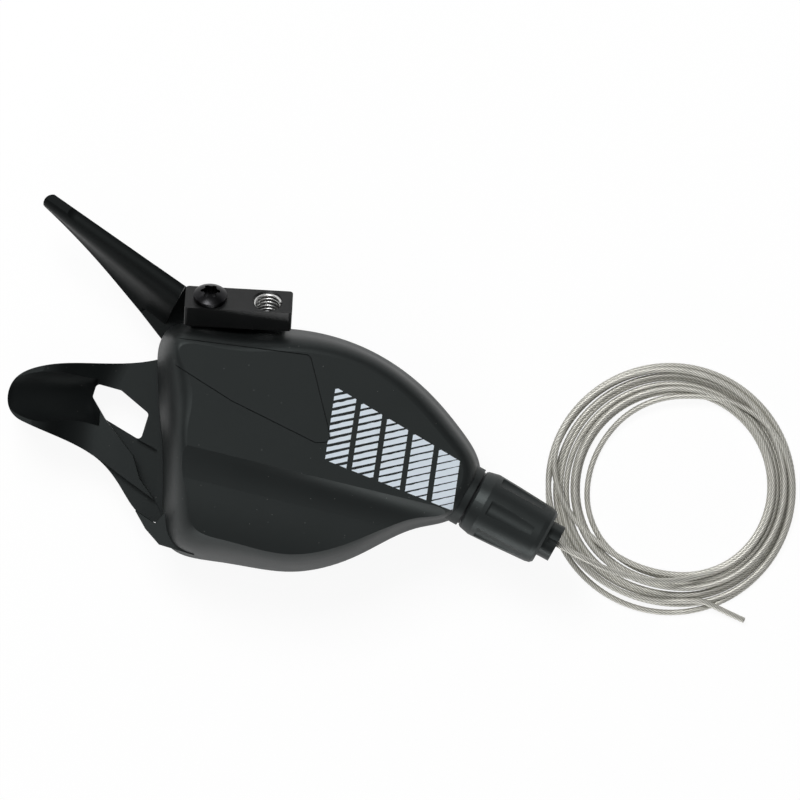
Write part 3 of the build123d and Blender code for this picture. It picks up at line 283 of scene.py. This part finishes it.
def nylon_finish(name, roughness, grain=7.0, depth=0.012, seed=0.0, gloss=0.4):
    """Black nylon with the mould's fine eroded grain, faint flow marks and a little dust.

    The grain is in noise cells a millimetre and its depth in millimetres.
    """
    finish = Finish(name, IOR=1.5, Specular_IOR_Level=gloss, Specular_Tint=NYLON_SHEEN)
    point, _ = finish.place()
    flow = finish.noise(point, FLOW_SCALE, detail=3.0, seed=seed + 4)
    fine = finish.noise(point, grain, seed=seed)
    sockets = {"Vector": point, "Scale": DUST_CELLS, "Randomness": 1.0}
    cells = finish.node("TexVoronoi", {"feature": "F1"}, sockets)
    specks = cells.below(DUST_SPECK)
    colour = finish.mix(flow, NYLON, NYLON_PALE)
    finish.feed("Base Color", finish.mix(specks * DUST_COVER, colour, DUST))
    finish.feed("Roughness", flow * FLOW_ROUGH + fine * FINE_ROUGH + (roughness - NOISE_MIDDLE))
    finish.bump(fine, depth)
    return finish


def dress(node, material):
    """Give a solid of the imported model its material."""
    piece = cad[node]
    piece.data.materials.clear()
    piece.data.materials.append(material)
    piece.data.polygons.foreach_set("material_index", [0] * len(piece.data.polygons))


lower_nylon = nylon_finish("lower_nylon", 0.52, seed=11.0).material
dress("lower_cover", lower_nylon)


# Base plate, posts and screws
# Zinc-plated steel pressings and turned pins. The plate spans the middle of the housing and carries the
# spindle, the holding pawl's pin and the foot of the clamp bracket. Two screws from above hold the foot,
# and three from below hold the covers.
ZINC = (0.42, 0.43, 0.44, 1)
ZINC_DULL = (0.25, 0.26, 0.27, 1)
TURNED_STEEL = (0.55, 0.55, 0.56, 1)
PATCH_SCALE = 0.5
PATCH_ROUGH = 0.15
STEEL_GRAIN_SCALE = 9.0
STEEL_GRAIN_DEPTH = 0.003


def steel_finish(name, bright, dull, roughness, seed=0.0):
    """Steel with a faint fine grain and duller patches."""
    finish = Finish(name, Metallic=1.0)
    point, _ = finish.place()
    patches = finish.noise(point, PATCH_SCALE, detail=3.0, seed=seed)
    fine = finish.noise(point, STEEL_GRAIN_SCALE, detail=1.0, seed=seed + 3)
    finish.feed("Base Color", finish.mix(patches, bright, dull))
    finish.feed("Roughness", patches * PATCH_ROUGH + fine * FINE_ROUGH + (roughness - NOISE_MIDDLE))
    finish.bump(fine, STEEL_GRAIN_DEPTH)
    return finish.material


zinc_steel = steel_finish("zinc_steel", ZINC, ZINC_DULL, 0.36)
pin_steel = steel_finish("pin_steel", TURNED_STEEL, ZINC, 0.28, 5.0)
screw_steel = steel_finish("zinc_screw_steel", ZINC, ZINC_DULL, 0.3, 9.0)
dress("base_plate", zinc_steel)
dress("hold_pawl_pin", pin_steel)
dress("drive_pawl_post", pin_steel)
dress("cover_screws", screw_steel)
dress("bracket_screws", screw_steel)


# Spindle, nut, washers and clip
# The turned steel spindle stands in the plate and both levers and the spool swing round it. A nut and
# washer close it below and a blackened snap clip above; a zinc-plated spacer keeps the levers apart.
BLACK_STEEL = (0.035, 0.035, 0.037, 1)
BLACK_STEEL_WORN = (0.12, 0.12, 0.125, 1)

clip_steel = steel_finish("blackened_clip_steel", BLACK_STEEL_WORN, BLACK_STEEL, 0.3, 2.0)
dress("spindle", pin_steel)
dress("spindle_nut", pin_steel)
dress("spindle_washer", zinc_steel)
dress("spacer_washer", zinc_steel)
dress("spindle_clip", clip_steel)


# Bushes
# White acetal sleeves between the spindle and whatever turns on it, moulded and pressed into the levers
# and the spool.
ACETAL = (0.72, 0.71, 0.67, 1)
ACETAL_SHADE = (0.6, 0.59, 0.54, 1)
ACETAL_ROUGHNESS = 0.31
CLOUD_SCALE = 0.4
CLOUD_ROUGH = 0.1
SKIN_SCALE = 6.0
SKIN_ROUGH = 0.05
SKIN_DEPTH = 0.004


def acetal_finish(name, pale, shade, seed=0.0):
    """Smooth moulded acetal, slightly cloudy."""
    finish = Finish(name, IOR=1.48)
    point, _ = finish.place()
    cloud = finish.noise(point, CLOUD_SCALE, seed=seed)
    skin = finish.noise(point, SKIN_SCALE, seed=seed)
    finish.feed("Base Color", finish.mix(cloud, pale, shade))
    finish.feed("Roughness", cloud * CLOUD_ROUGH + skin * SKIN_ROUGH + ACETAL_ROUGHNESS)
    finish.bump(skin, SKIN_DEPTH)
    return finish.material


white_acetal = acetal_finish("white_acetal", ACETAL, ACETAL_SHADE)
for node in ("lever_bush", "release_bush", "spool_bush"):
    dress(node, white_acetal)


# Ratchet, pawls and springs
# The wheel and both pawls are stamped from hardened steel, straw-grey from the oven. The springs are bright
# drawn wire and the spool's is a coiled strip; they are plain turns with no hooked ends.
HARDENED = (0.3, 0.29, 0.28, 1)
HARDENED_DARK = (0.16, 0.155, 0.15, 1)
SPRING = (0.5, 0.5, 0.49, 1)
SPRING_DARK = (0.34, 0.34, 0.33, 1)

pawl_steel = steel_finish("hardened_steel", HARDENED, HARDENED_DARK, 0.33, 7.0)
spring_wire = steel_finish("spring_wire", SPRING, SPRING_DARK, 0.25, 1.0)
for node in ("ratchet_wheel", "hold_pawl", "drive_pawl"):
    dress(node, pawl_steel)
for node in ("lever_spring", "release_spring", "hold_pawl_spring", "drive_pawl_spring", "spool_spring"):
    dress(node, spring_wire)


# Cable spool
# A moulded drum of grey acetal, fixed on top of the ratchet wheel. The cable's head sits in a pocket in
# its rim, and its cup holds the coiled spring.
SPOOL_GREY = (0.5, 0.5, 0.48, 1)
SPOOL_SHADE = (0.4, 0.4, 0.385, 1)

dress("cable_spool", acetal_finish("grey_acetal", SPOOL_GREY, SPOOL_SHADE, 3.0))


# Pull lever
# The larger thumb lever. It swings round the spindle on its bush and is moulded in the same black nylon
# as the covers, with a finer and slightly silkier grain.
pull_nylon = nylon_finish("pull_lever_nylon", 0.46, grain=9.0, depth=0.008, seed=21.0, gloss=0.3).material
dress("pull_lever", pull_nylon)


# Release lever
# The narrow upper lever, a forged alloy blade on a flat arm that turns round the spindle. It has a matt
# black coat of paint with hardly any sheen.
COAT_BLACK = (0.0026, 0.0031, 0.0032, 1)
COAT_PALE = (0.0052, 0.0058, 0.006, 1)
COAT_ROUGHNESS = 0.4
COAT_GLOSS = 0.14
HAZE_SCALE = 0.12
HAZE_ROUGH = 0.12
PEEL_SCALE = 4.0
PEEL_ROUGH = 0.06
PEEL_DEPTH = 0.006


def coat_finish():
    """Matt black paint on alloy, with a fine orange peel and faint paler clouds."""
    finish = Finish("release_lever_coat", IOR=1.5, Specular_IOR_Level=COAT_GLOSS, Specular_Tint=NYLON_SHEEN)
    point, _ = finish.place()
    haze = finish.noise(point, HAZE_SCALE, detail=3.0, seed=35.0)
    peel = finish.noise(point, PEEL_SCALE, seed=31.0)
    finish.feed("Base Color", finish.mix(haze, COAT_BLACK, COAT_PALE))
    finish.feed("Roughness", haze * HAZE_ROUGH + peel * PEEL_ROUGH + COAT_ROUGHNESS)
    finish.bump(peel, PEEL_DEPTH)
    return finish.material


dress("release_lever", coat_finish())


# Upper cover
# The visible shell, moulded in black nylon. A plain decoration of slanted bars, printed in pale blue-white
# ink, lies between the hatch and the adjuster; each bar is cut into stripes that grow thicker to the right.
INK = (0.78, 0.86, 0.94, 1)
PRINT_FROM = (11.8, 5.0)
PRINT_LEAN = radians(-26.0)
PRINT_LENGTH = 27.5
PRINT_HALF = 6.6
BAR_PITCH = 5.5
BAR_SHARE = 0.8
BAR_SLANT = 0.32
STRIPE_RISE = radians(12.0)
STRIPE_PITCH = 1.3
# How far the field's two edges close in over its length, as shares of its half width.
TOP_FALL = 0.36
LOW_RISE = 0.3
# A stripe's share of its pitch at the left, what it gains to the right, and its ragged edge.
STRIPE_SHARE = 0.5
STRIPE_GAIN = 0.3
RAGGED_SCALE = 0.8
RAGGED_SHARE = 0.16


def cover_finish():
    """The covers' nylon with the printed field laid over it by place."""
    finish = nylon_finish("upper_cover_nylon", 0.47, seed=1.0)
    point, (x, y, _) = finish.place()
    along = (x - PRINT_FROM[0]) * cos(PRINT_LEAN) + (y - PRINT_FROM[1]) * sin(PRINT_LEAN)
    across = (y - PRINT_FROM[1]) * cos(PRINT_LEAN) - (x - PRINT_FROM[0]) * sin(PRINT_LEAN)
    slid = along + across * BAR_SLANT
    # The field narrows towards the adjuster as the cover does.
    share = slid / PRINT_LENGTH
    top = share * -TOP_FALL * PRINT_HALF + PRINT_HALF
    low = share * LOW_RISE * PRINT_HALF - PRINT_HALF
    last_bar_end = PRINT_LENGTH - BAR_PITCH * (1 - BAR_SHARE)
    inside = slid.above(0.0) * slid.below(last_bar_end) * across.below(top) * across.above(low)
    bars = (slid / BAR_PITCH).wave().below(BAR_SHARE)
    stripes = ((y * cos(STRIPE_RISE) - x * sin(STRIPE_RISE)) / STRIPE_PITCH).wave()
    ragged = finish.noise(point, RAGGED_SCALE, detail=0.0, seed=17.0) * RAGGED_SHARE
    printed = inside * bars * stripes.below(share * STRIPE_GAIN + ragged + STRIPE_SHARE)
    under = finish.shader.inputs["Base Color"].links[0].from_socket
    finish.feed("Base Color", finish.mix(printed, Link(finish, under), INK))
    return finish.material


dress("upper_cover", cover_finish())


# Cable hatch
# A thin lid in the same nylon, let into the cover flush with its top and centred by a rim under it. It
# lifts out to reach the cable's head, and its face is plain.
hatch_nylon = nylon_finish("hatch_nylon", 0.5, grain=7.5, depth=0.01, seed=41.0).material
dress("cable_hatch", hatch_nylon)


# Clamp bracket
# Extruded alloy bar on a bent leg, black anodised; the anodising is cut away in the free hole, whose
# thread is bright metal.
ANODISED = (0.0065, 0.007, 0.0072, 1)
ANODISED_PALE = (0.013, 0.0135, 0.014, 1)
ANODISED_ROUGHNESS = 0.34
SATIN_SCALE = 5.0
SATIN_ROUGH = 0.12
SATIN_DEPTH = 0.004
ANODISED_PATCH_SCALE = 0.35
BRIGHT_ALLOY = (0.78, 0.78, 0.77, 1)
BRIGHT_ALLOY_DULL = (0.6, 0.6, 0.59, 1)
HOLE_MOUTH = Vector((-0.00842, 27.9986, 26.9104)) * MM
HOLE_AXIS = Vector((0.0428, 0.7649, 0.6428)).normalized()
THREAD_R = 2.5
THREAD_FROM = 0.45
THREAD_PITCH = 0.8
THREAD_TURNS = 4.6
THREAD_CREST = 0.42
TURN_STEPS = 40
CREST_SIDES = 4


def anodised_finish():
    """Satin black anodising with slightly paler patches."""
    finish = Finish("black_anodised_alloy", Metallic=0.3, Specular_IOR_Level=0.45)
    point, _ = finish.place()
    satin = finish.noise(point, SATIN_SCALE, detail=3.0)
    patches = finish.noise(point, ANODISED_PATCH_SCALE, seed=6.0)
    finish.feed("Base Color", finish.mix(patches, ANODISED, ANODISED_PALE))
    finish.feed("Roughness", satin * SATIN_ROUGH + ANODISED_ROUGHNESS)
    finish.bump(satin, SATIN_DEPTH)
    return finish.material


def thread_tree(material):
    """A thread's crest: a diamond section carried along a helix."""
    tree = bpy.data.node_groups.new("thread_crest", "GeometryNodeTree")
    sizes = {"Radius": THREAD_R, "Pitch": THREAD_PITCH, "Turns": THREAD_TURNS, "Crest": THREAD_CREST}
    for name in sizes:
        tree.interface.new_socket(name, in_out="INPUT", socket_type="NodeSocketFloat")
    tree.interface.new_socket("Mesh", in_out="OUTPUT", socket_type="NodeSocketGeometry")
    given = tree.nodes.new("NodeGroupInput")
    result = tree.nodes.new("NodeGroupOutput")
    height = tree.nodes.new("ShaderNodeMath")
    height.operation = "MULTIPLY"
    helix = tree.nodes.new("GeometryNodeCurveSpiral")
    helix.inputs["Resolution"].default_value = TURN_STEPS
    upright = tree.nodes.new("GeometryNodeSetCurveNormal")
    upright.mode = "Z_UP"
    section = tree.nodes.new("GeometryNodeCurvePrimitiveCircle")
    section.inputs["Resolution"].default_value = CREST_SIDES
    crest = tree.nodes.new("GeometryNodeCurveToMesh")
    crest.inputs["Fill Caps"].default_value = True
    real = tree.nodes.new("GeometryNodeRealizeInstances")
    coat = tree.nodes.new("GeometryNodeSetMaterial")
    coat.inputs["Material"].default_value = material
    link = tree.links.new
    link(given.outputs["Pitch"], height.inputs[0])
    link(given.outputs["Turns"], height.inputs[1])
    link(given.outputs["Turns"], helix.inputs["Rotations"])
    link(given.outputs["Radius"], helix.inputs["Start Radius"])
    link(given.outputs["Radius"], helix.inputs["End Radius"])
    link(height.outputs[0], helix.inputs["Height"])
    link(helix.outputs[0], upright.inputs[0])
    link(given.outputs["Crest"], section.inputs["Radius"])
    link(upright.outputs[0], crest.inputs["Curve"])
    link(section.outputs[0], crest.inputs["Profile Curve"])
    link(crest.outputs[0], real.inputs[0])
    link(real.outputs[0], coat.inputs[0])
    link(coat.outputs[0], result.inputs[0])
    return tree, sizes


def grown_mesh(name, tree, sizes):
    """Run a geometry tree once and keep what it makes as a plain mesh."""
    seed = bpy.data.objects.new(name + "_seed", bpy.data.meshes.new(name + "_seed"))
    scene.collection.objects.link(seed)
    modifier = seed.modifiers.new("grow", "NODES")
    modifier.node_group = tree
    sockets = {item.name: item.identifier for item in tree.interface.items_tree if item.in_out == "INPUT"}
    for size, value in sizes.items():
        modifier[sockets[size]] = value
    mesh = bpy.data.meshes.new_from_object(seed.evaluated_get(bpy.context.evaluated_depsgraph_get()))
    mesh.name = name
    bpy.data.objects.remove(seed)
    return mesh


def bright_thread():
    material = steel_finish("bright_thread_alloy", BRIGHT_ALLOY, BRIGHT_ALLOY_DULL, 0.3, 13.0)
    mesh = grown_mesh("thread_crest", *thread_tree(material))
    into = HOLE_MOUTH - HOLE_AXIS * (THREAD_FROM * MM)
    turn = (-HOLE_AXIS).to_track_quat("Z", "Y").to_matrix().to_4x4()
    mesh.transform(Matrix.Translation(into) @ turn @ Matrix.Scale(MM, 4))
    piece = bpy.data.objects.new("thread_crest", mesh)
    scene.collection.objects.link(piece)
    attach(piece, "housing")


dress("clamp_bracket", anodised_finish())
bright_thread()


# Bracket bolt
# A low dome-headed steel bolt with a six-lobed socket, blackened with oxide that is rubbed a little paler.
# It is screwed into the bracket's other hole.
BOLT_BLACK = (0.012, 0.012, 0.013, 1)
BOLT_WORN = (0.04, 0.04, 0.042, 1)

bolt_oxide = steel_finish("bolt_black_oxide", BOLT_BLACK, BOLT_WORN, 0.3, 19.0)
dress("bracket_bolt", bolt_oxide)


# Barrel adjuster
# A fluted nylon knob on the cover's neck. It turns against a thin blackened steel washer and winds a
# smooth slotted nylon sleeve in and out, which the cable leaves by.
WASHER_BLACK = (0.012, 0.012, 0.0125, 1)
WASHER_WORN = (0.03, 0.03, 0.031, 1)

knob_nylon = nylon_finish("knob_nylon", 0.44, grain=8.0, depth=0.006, seed=51.0, gloss=0.55).material
sleeve_nylon = nylon_finish("sleeve_nylon", 0.36, grain=9.0, depth=0.004, seed=61.0, gloss=0.45).material
washer_steel = steel_finish("blackened_washer_steel", WASHER_BLACK, WASHER_WORN, 0.4, 29.0)
dress("adjuster_knob", knob_nylon)
dress("adjuster_sleeve", sleeve_nylon)
dress("adjuster_washer", washer_steel)


# Shift cable
# Stranded stainless wire, bare from the adjuster's mouth to its cut end. It springs down from the mouth
# and its spare length lies in a loose coil on the table: a top layer, a second one and one on the floor.
CABLE = 1.1
CABLE_ANGLE = radians(-28.6)
MOUTH = (54.4767, -17.7994, 18.95)
LEAD_STRAIGHT = 5.2
LEAD_ROUTE = (
    (63.3, -22.3, 16.7),
    (67.6, -23.9, 12.9),
    (72.0, -24.8, 8.7),
    (76.6, -25.0, 5.3),
    (81.4, -24.2, 3.2),
)
TAIL_ROUTE = ((83.0, -29.0, 2.3), (86.6, -30.8, 1.5), (90.3, -32.5, 0.75))
# Middle and radius of the band's inner and outer turn.
COIL_INNER = (77.7, -7.2, 17.75)
COIL_OUTER = (76.2, -7.5, 23.95)
COIL_START = -78.0
TURN_POINTS = 16
TURNS = 10.0
TRACK_PITCH = 0.29
SECOND_FROM = 2.05
FLOOR_FROM = 5.55
THIRD_LAYER = 1.83
# The outermost turn lies apart from the others for a stretch at the front.
SPLIT_TURN = 8.6
SPLIT_AT = 258.0
SPLIT_WIDTH = 30.0
SPLIT_SHARE = 0.15
WOBBLE = 0.03
WOBBLE_STEP = 0.83
# A stretch of the track that is shorter than this many turns is eased.
EASED_TURNS = 0.6
# The lowest turns keep this far off the table.
TABLE_GAP = 0.02
# Where each layer runs: turns, place across the band from inside to outside, and layer up from the floor.
TRACK = (
    (0.0, 0.04, 2.0),
    (1.0, 0.42, 2.0),
    (1.64, 0.98, 2.0),
    (1.86, 0.03, 2.0),
    (2.03, 0.0, 2.0),
    (2.2, (2.2 - SECOND_FROM) * TRACK_PITCH, 1.0),
    (5.15, (5.15 - SECOND_FROM) * TRACK_PITCH, 1.0),
    (5.25, 0.88, 2.0),
    (5.47, -0.04, 2.0),
    (5.62, -0.09, 1.0),
    (5.8, (5.8 - FLOOR_FROM) * TRACK_PITCH, 0.0),
    (9.0, 1.0, 0.0),
    (9.35, 1.02, 0.0),
    (9.62, 1.0, 2.0),
    (10.0, 0.62, 2.0),
)


def track_at(turn):
    """Place across the band and layer at a turn, eased over the track's short stretches."""
    for (from_turn, from_share, from_layer), (to_turn, to_share, to_layer) in zip(TRACK, TRACK[1:]):
        if turn <= to_turn:
            part = (turn - from_turn) / (to_turn - from_turn)
            if to_turn - from_turn < EASED_TURNS:
                part = part * part * (3 - 2 * part)
            return from_share + (to_share - from_share) * part, from_layer + (to_layer - from_layer) * part
    return TRACK[-1][1], TRACK[-1][2]


def coil_point(turn):
    share, layer = track_at(turn)
    angle = radians(COIL_START + 360 * turn)
    share += WOBBLE * sin(2 * pi * WOBBLE_STEP * turn)
    if turn < SPLIT_TURN:
        away = ((COIL_START + 360 * turn) % 360 - SPLIT_AT) / SPLIT_WIDTH
        share -= SPLIT_SHARE * exp(-away * away)
    x, y, radius = [inner + (outer - inner) * share for inner, outer in zip(COIL_INNER, COIL_OUTER)]
    # A turn of the second layer sinks between two of the floor's where the band is wide.
    shift = (COIL_OUTER[0] - COIL_INNER[0]) * cos(angle) + (COIL_OUTER[1] - COIL_INNER[1]) * sin(angle)
    spacing = TRACK_PITCH / 2 * (COIL_OUTER[2] - COIL_INNER[2] + shift)
    second = sqrt(max(0.0, CABLE**2 - spacing**2))
    third = CABLE * THIRD_LAYER
    lift = second * layer if layer <= 1 else second + (third - second) * (layer - 1)
    return (x + radius * cos(angle), y + radius * sin(angle), CABLE / 2 + TABLE_GAP + lift)


def cable_points():
    out_x = MOUTH[0] + LEAD_STRAIGHT * cos(CABLE_ANGLE)
    out_y = MOUTH[1] + LEAD_STRAIGHT * sin(CABLE_ANGLE)
    turns = [coil_point(step / TURN_POINTS) for step in range(1, int(TURNS * TURN_POINTS) + 1)]
    return [MOUTH, (out_x, out_y, MOUTH[2]), *LEAD_ROUTE, *turns, *TAIL_ROUTE]


def route_vertices(points, steps):
    """The smooth line of a NURBS spline through the route, read back as close points."""
    data = bpy.data.curves.new("cable_route", "CURVE")
    data.dimensions = "3D"
    spline = data.splines.new("NURBS")
    spline.points.add(len(points) - 1)
    for point, place in zip(spline.points, points):
        point.co = (*[c * MM for c in place], 1.0)
    spline.order_u = 3
    spline.use_endpoint_u = True
    data.resolution_u = steps
    route = bpy.data.objects.new("cable_route", data)
    scene.collection.objects.link(route)
    bpy.context.view_layer.update()
    mesh = bpy.data.meshes.new_from_object(route.evaluated_get(bpy.context.evaluated_depsgraph_get()))
    line = np.empty(len(mesh.vertices) * 3)
    mesh.vertices.foreach_get("co", line)
    bpy.data.objects.remove(route)
    bpy.data.meshes.remove(mesh)
    return line.reshape(-1, 3)


def carried_frames(line):
    """A side and an up direction carried along the line without twist."""
    tangents = np.gradient(line, axis=0)
    tangents /= np.linalg.norm(tangents, axis=1)[:, None]
    side = np.cross(tangents[0], (0.0, 0.0, 1.0))
    sides = []
    for tangent in tangents:
        side = side - tangent * np.dot(side, tangent)
        side = side / np.linalg.norm(side)
        sides.append(side)
    sides = np.array(sides)
    return sides, np.cross(tangents, sides)


STRANDS = 8
STRAND_SIDES = 3
STRAND_LAY = 7.0
STRAND_GROOVE = 0.12


def strand_tube(name, line, diameter, material):
    """A tube whose section is a ring of strands that twist along it, with closed ends and its own UVs."""
    sides, ups = carried_frames(line)
    runs = np.concatenate(([0.0], np.cumsum(np.linalg.norm(np.diff(line, axis=0), axis=1))))
    around = STRANDS * STRAND_SIDES
    angles = np.arange(around) * 2 * pi / around
    lobes = np.abs(np.cos(angles * STRANDS / 2))
    radii = diameter / 2 * (1 - STRAND_GROOVE * (1 - lobes))
    twist = runs[:, None] / (STRAND_LAY * MM) * 2 * pi + angles[None, :]
    offsets = sides[:, None, :] * (np.cos(twist) * radii)[:, :, None]
    offsets += ups[:, None, :] * (np.sin(twist) * radii)[:, :, None]
    points = (line[:, None, :] + offsets).reshape(-1, 3)
    faces = []
    uvs = []
    for step in range(len(line) - 1):
        low = step * around
        high = low + around
        near, far = runs[step] / MM, runs[step + 1] / MM
        for side in range(around):
            after = (side + 1) % around
            left, right = side / around, (side + 1) / around
            faces.append((low + side, low + after, high + after, high + side))
            uvs.extend((left, near, right, near, right, far, left, far))
    faces.append(tuple(range(around - 1, -1, -1)))
    faces.append(tuple((len(line) - 1) * around + side for side in range(around)))
    uvs.extend([0.0] * around * 4)
    piece = new_piece(name, points, faces, material)
    piece.data.uv_layers.new(name="along").data.foreach_set("uv", uvs)
    return piece


# Tones from the painted shade in the grooves between strands to the painted highlight on their crowns.
STRAND_SHADE_TONES = (
    (0.0, (0.08, 0.077, 0.066, 1)),
    (0.45, (0.48, 0.47, 0.42, 1)),
    (1.0, (0.86, 0.85, 0.79, 1)),
)
# How sharply and how strongly the painted highlight on the crowns rises over the painted shade in the
# grooves.
CROWN_HIGHLIGHT_POWER = 0.6
CROWN_HIGHLIGHT_SHARE = 0.75
GRIME_SCALE = 0.35
GRIME_SHARE = 0.2
TONE_FLOOR = 0.05


def cable_finish():
    """Stainless wire with painted shade in the grooves between strands and a painted highlight on their
    crowns, and grime that varies along it.
    """
    finish = Finish("stranded_stainless", Metallic=0.4, Roughness=0.42)
    place = finish.node("UVMap", {"uv_map": "along"})
    parts = finish.node("SeparateXYZ", None, {0: place})
    across, along = [Link(finish, socket) for socket in list(parts.socket.node.outputs)[:2]]
    # Painted shade and highlight across the wire: 0 in the grooves between strands and 1 on their crowns.
    strand_shading = (across * (STRANDS * 2 * pi)).maths("COSINE") * 0.5 + 0.5
    sockets = {"W": along, "Scale": GRIME_SCALE, "Detail": 3.0}
    grime = finish.node("TexNoise", {"noise_dimensions": "1D"}, sockets)
    tone = strand_shading.maths("POWER", CROWN_HIGHLIGHT_POWER) * CROWN_HIGHLIGHT_SHARE + grime * GRIME_SHARE + TONE_FLOOR
    finish.feed("Base Color", finish.node("ValToRGB", {"stops": STRAND_SHADE_TONES}, {0: tone}))
    return finish.material


ROUTE_STEPS = 20
INNER_WIRE = (0.62, 0.61, 0.57, 1)
INNER_WIRE_DARK = (0.4, 0.39, 0.35, 1)

cable_line = route_vertices(cable_points(), ROUTE_STEPS)
shift_cable = strand_tube("shift_cable", cable_line, CABLE * MM, cable_finish())
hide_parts("cable_lead", "cable_coil", "cable_tail")
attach(shift_cable, "housing")
inner_wire = steel_finish("inner_cable_wire", INNER_WIRE, INNER_WIRE_DARK, 0.35, 23.0)
dress("cable_inner", inner_wire)
dress("cable_head", inner_wire)
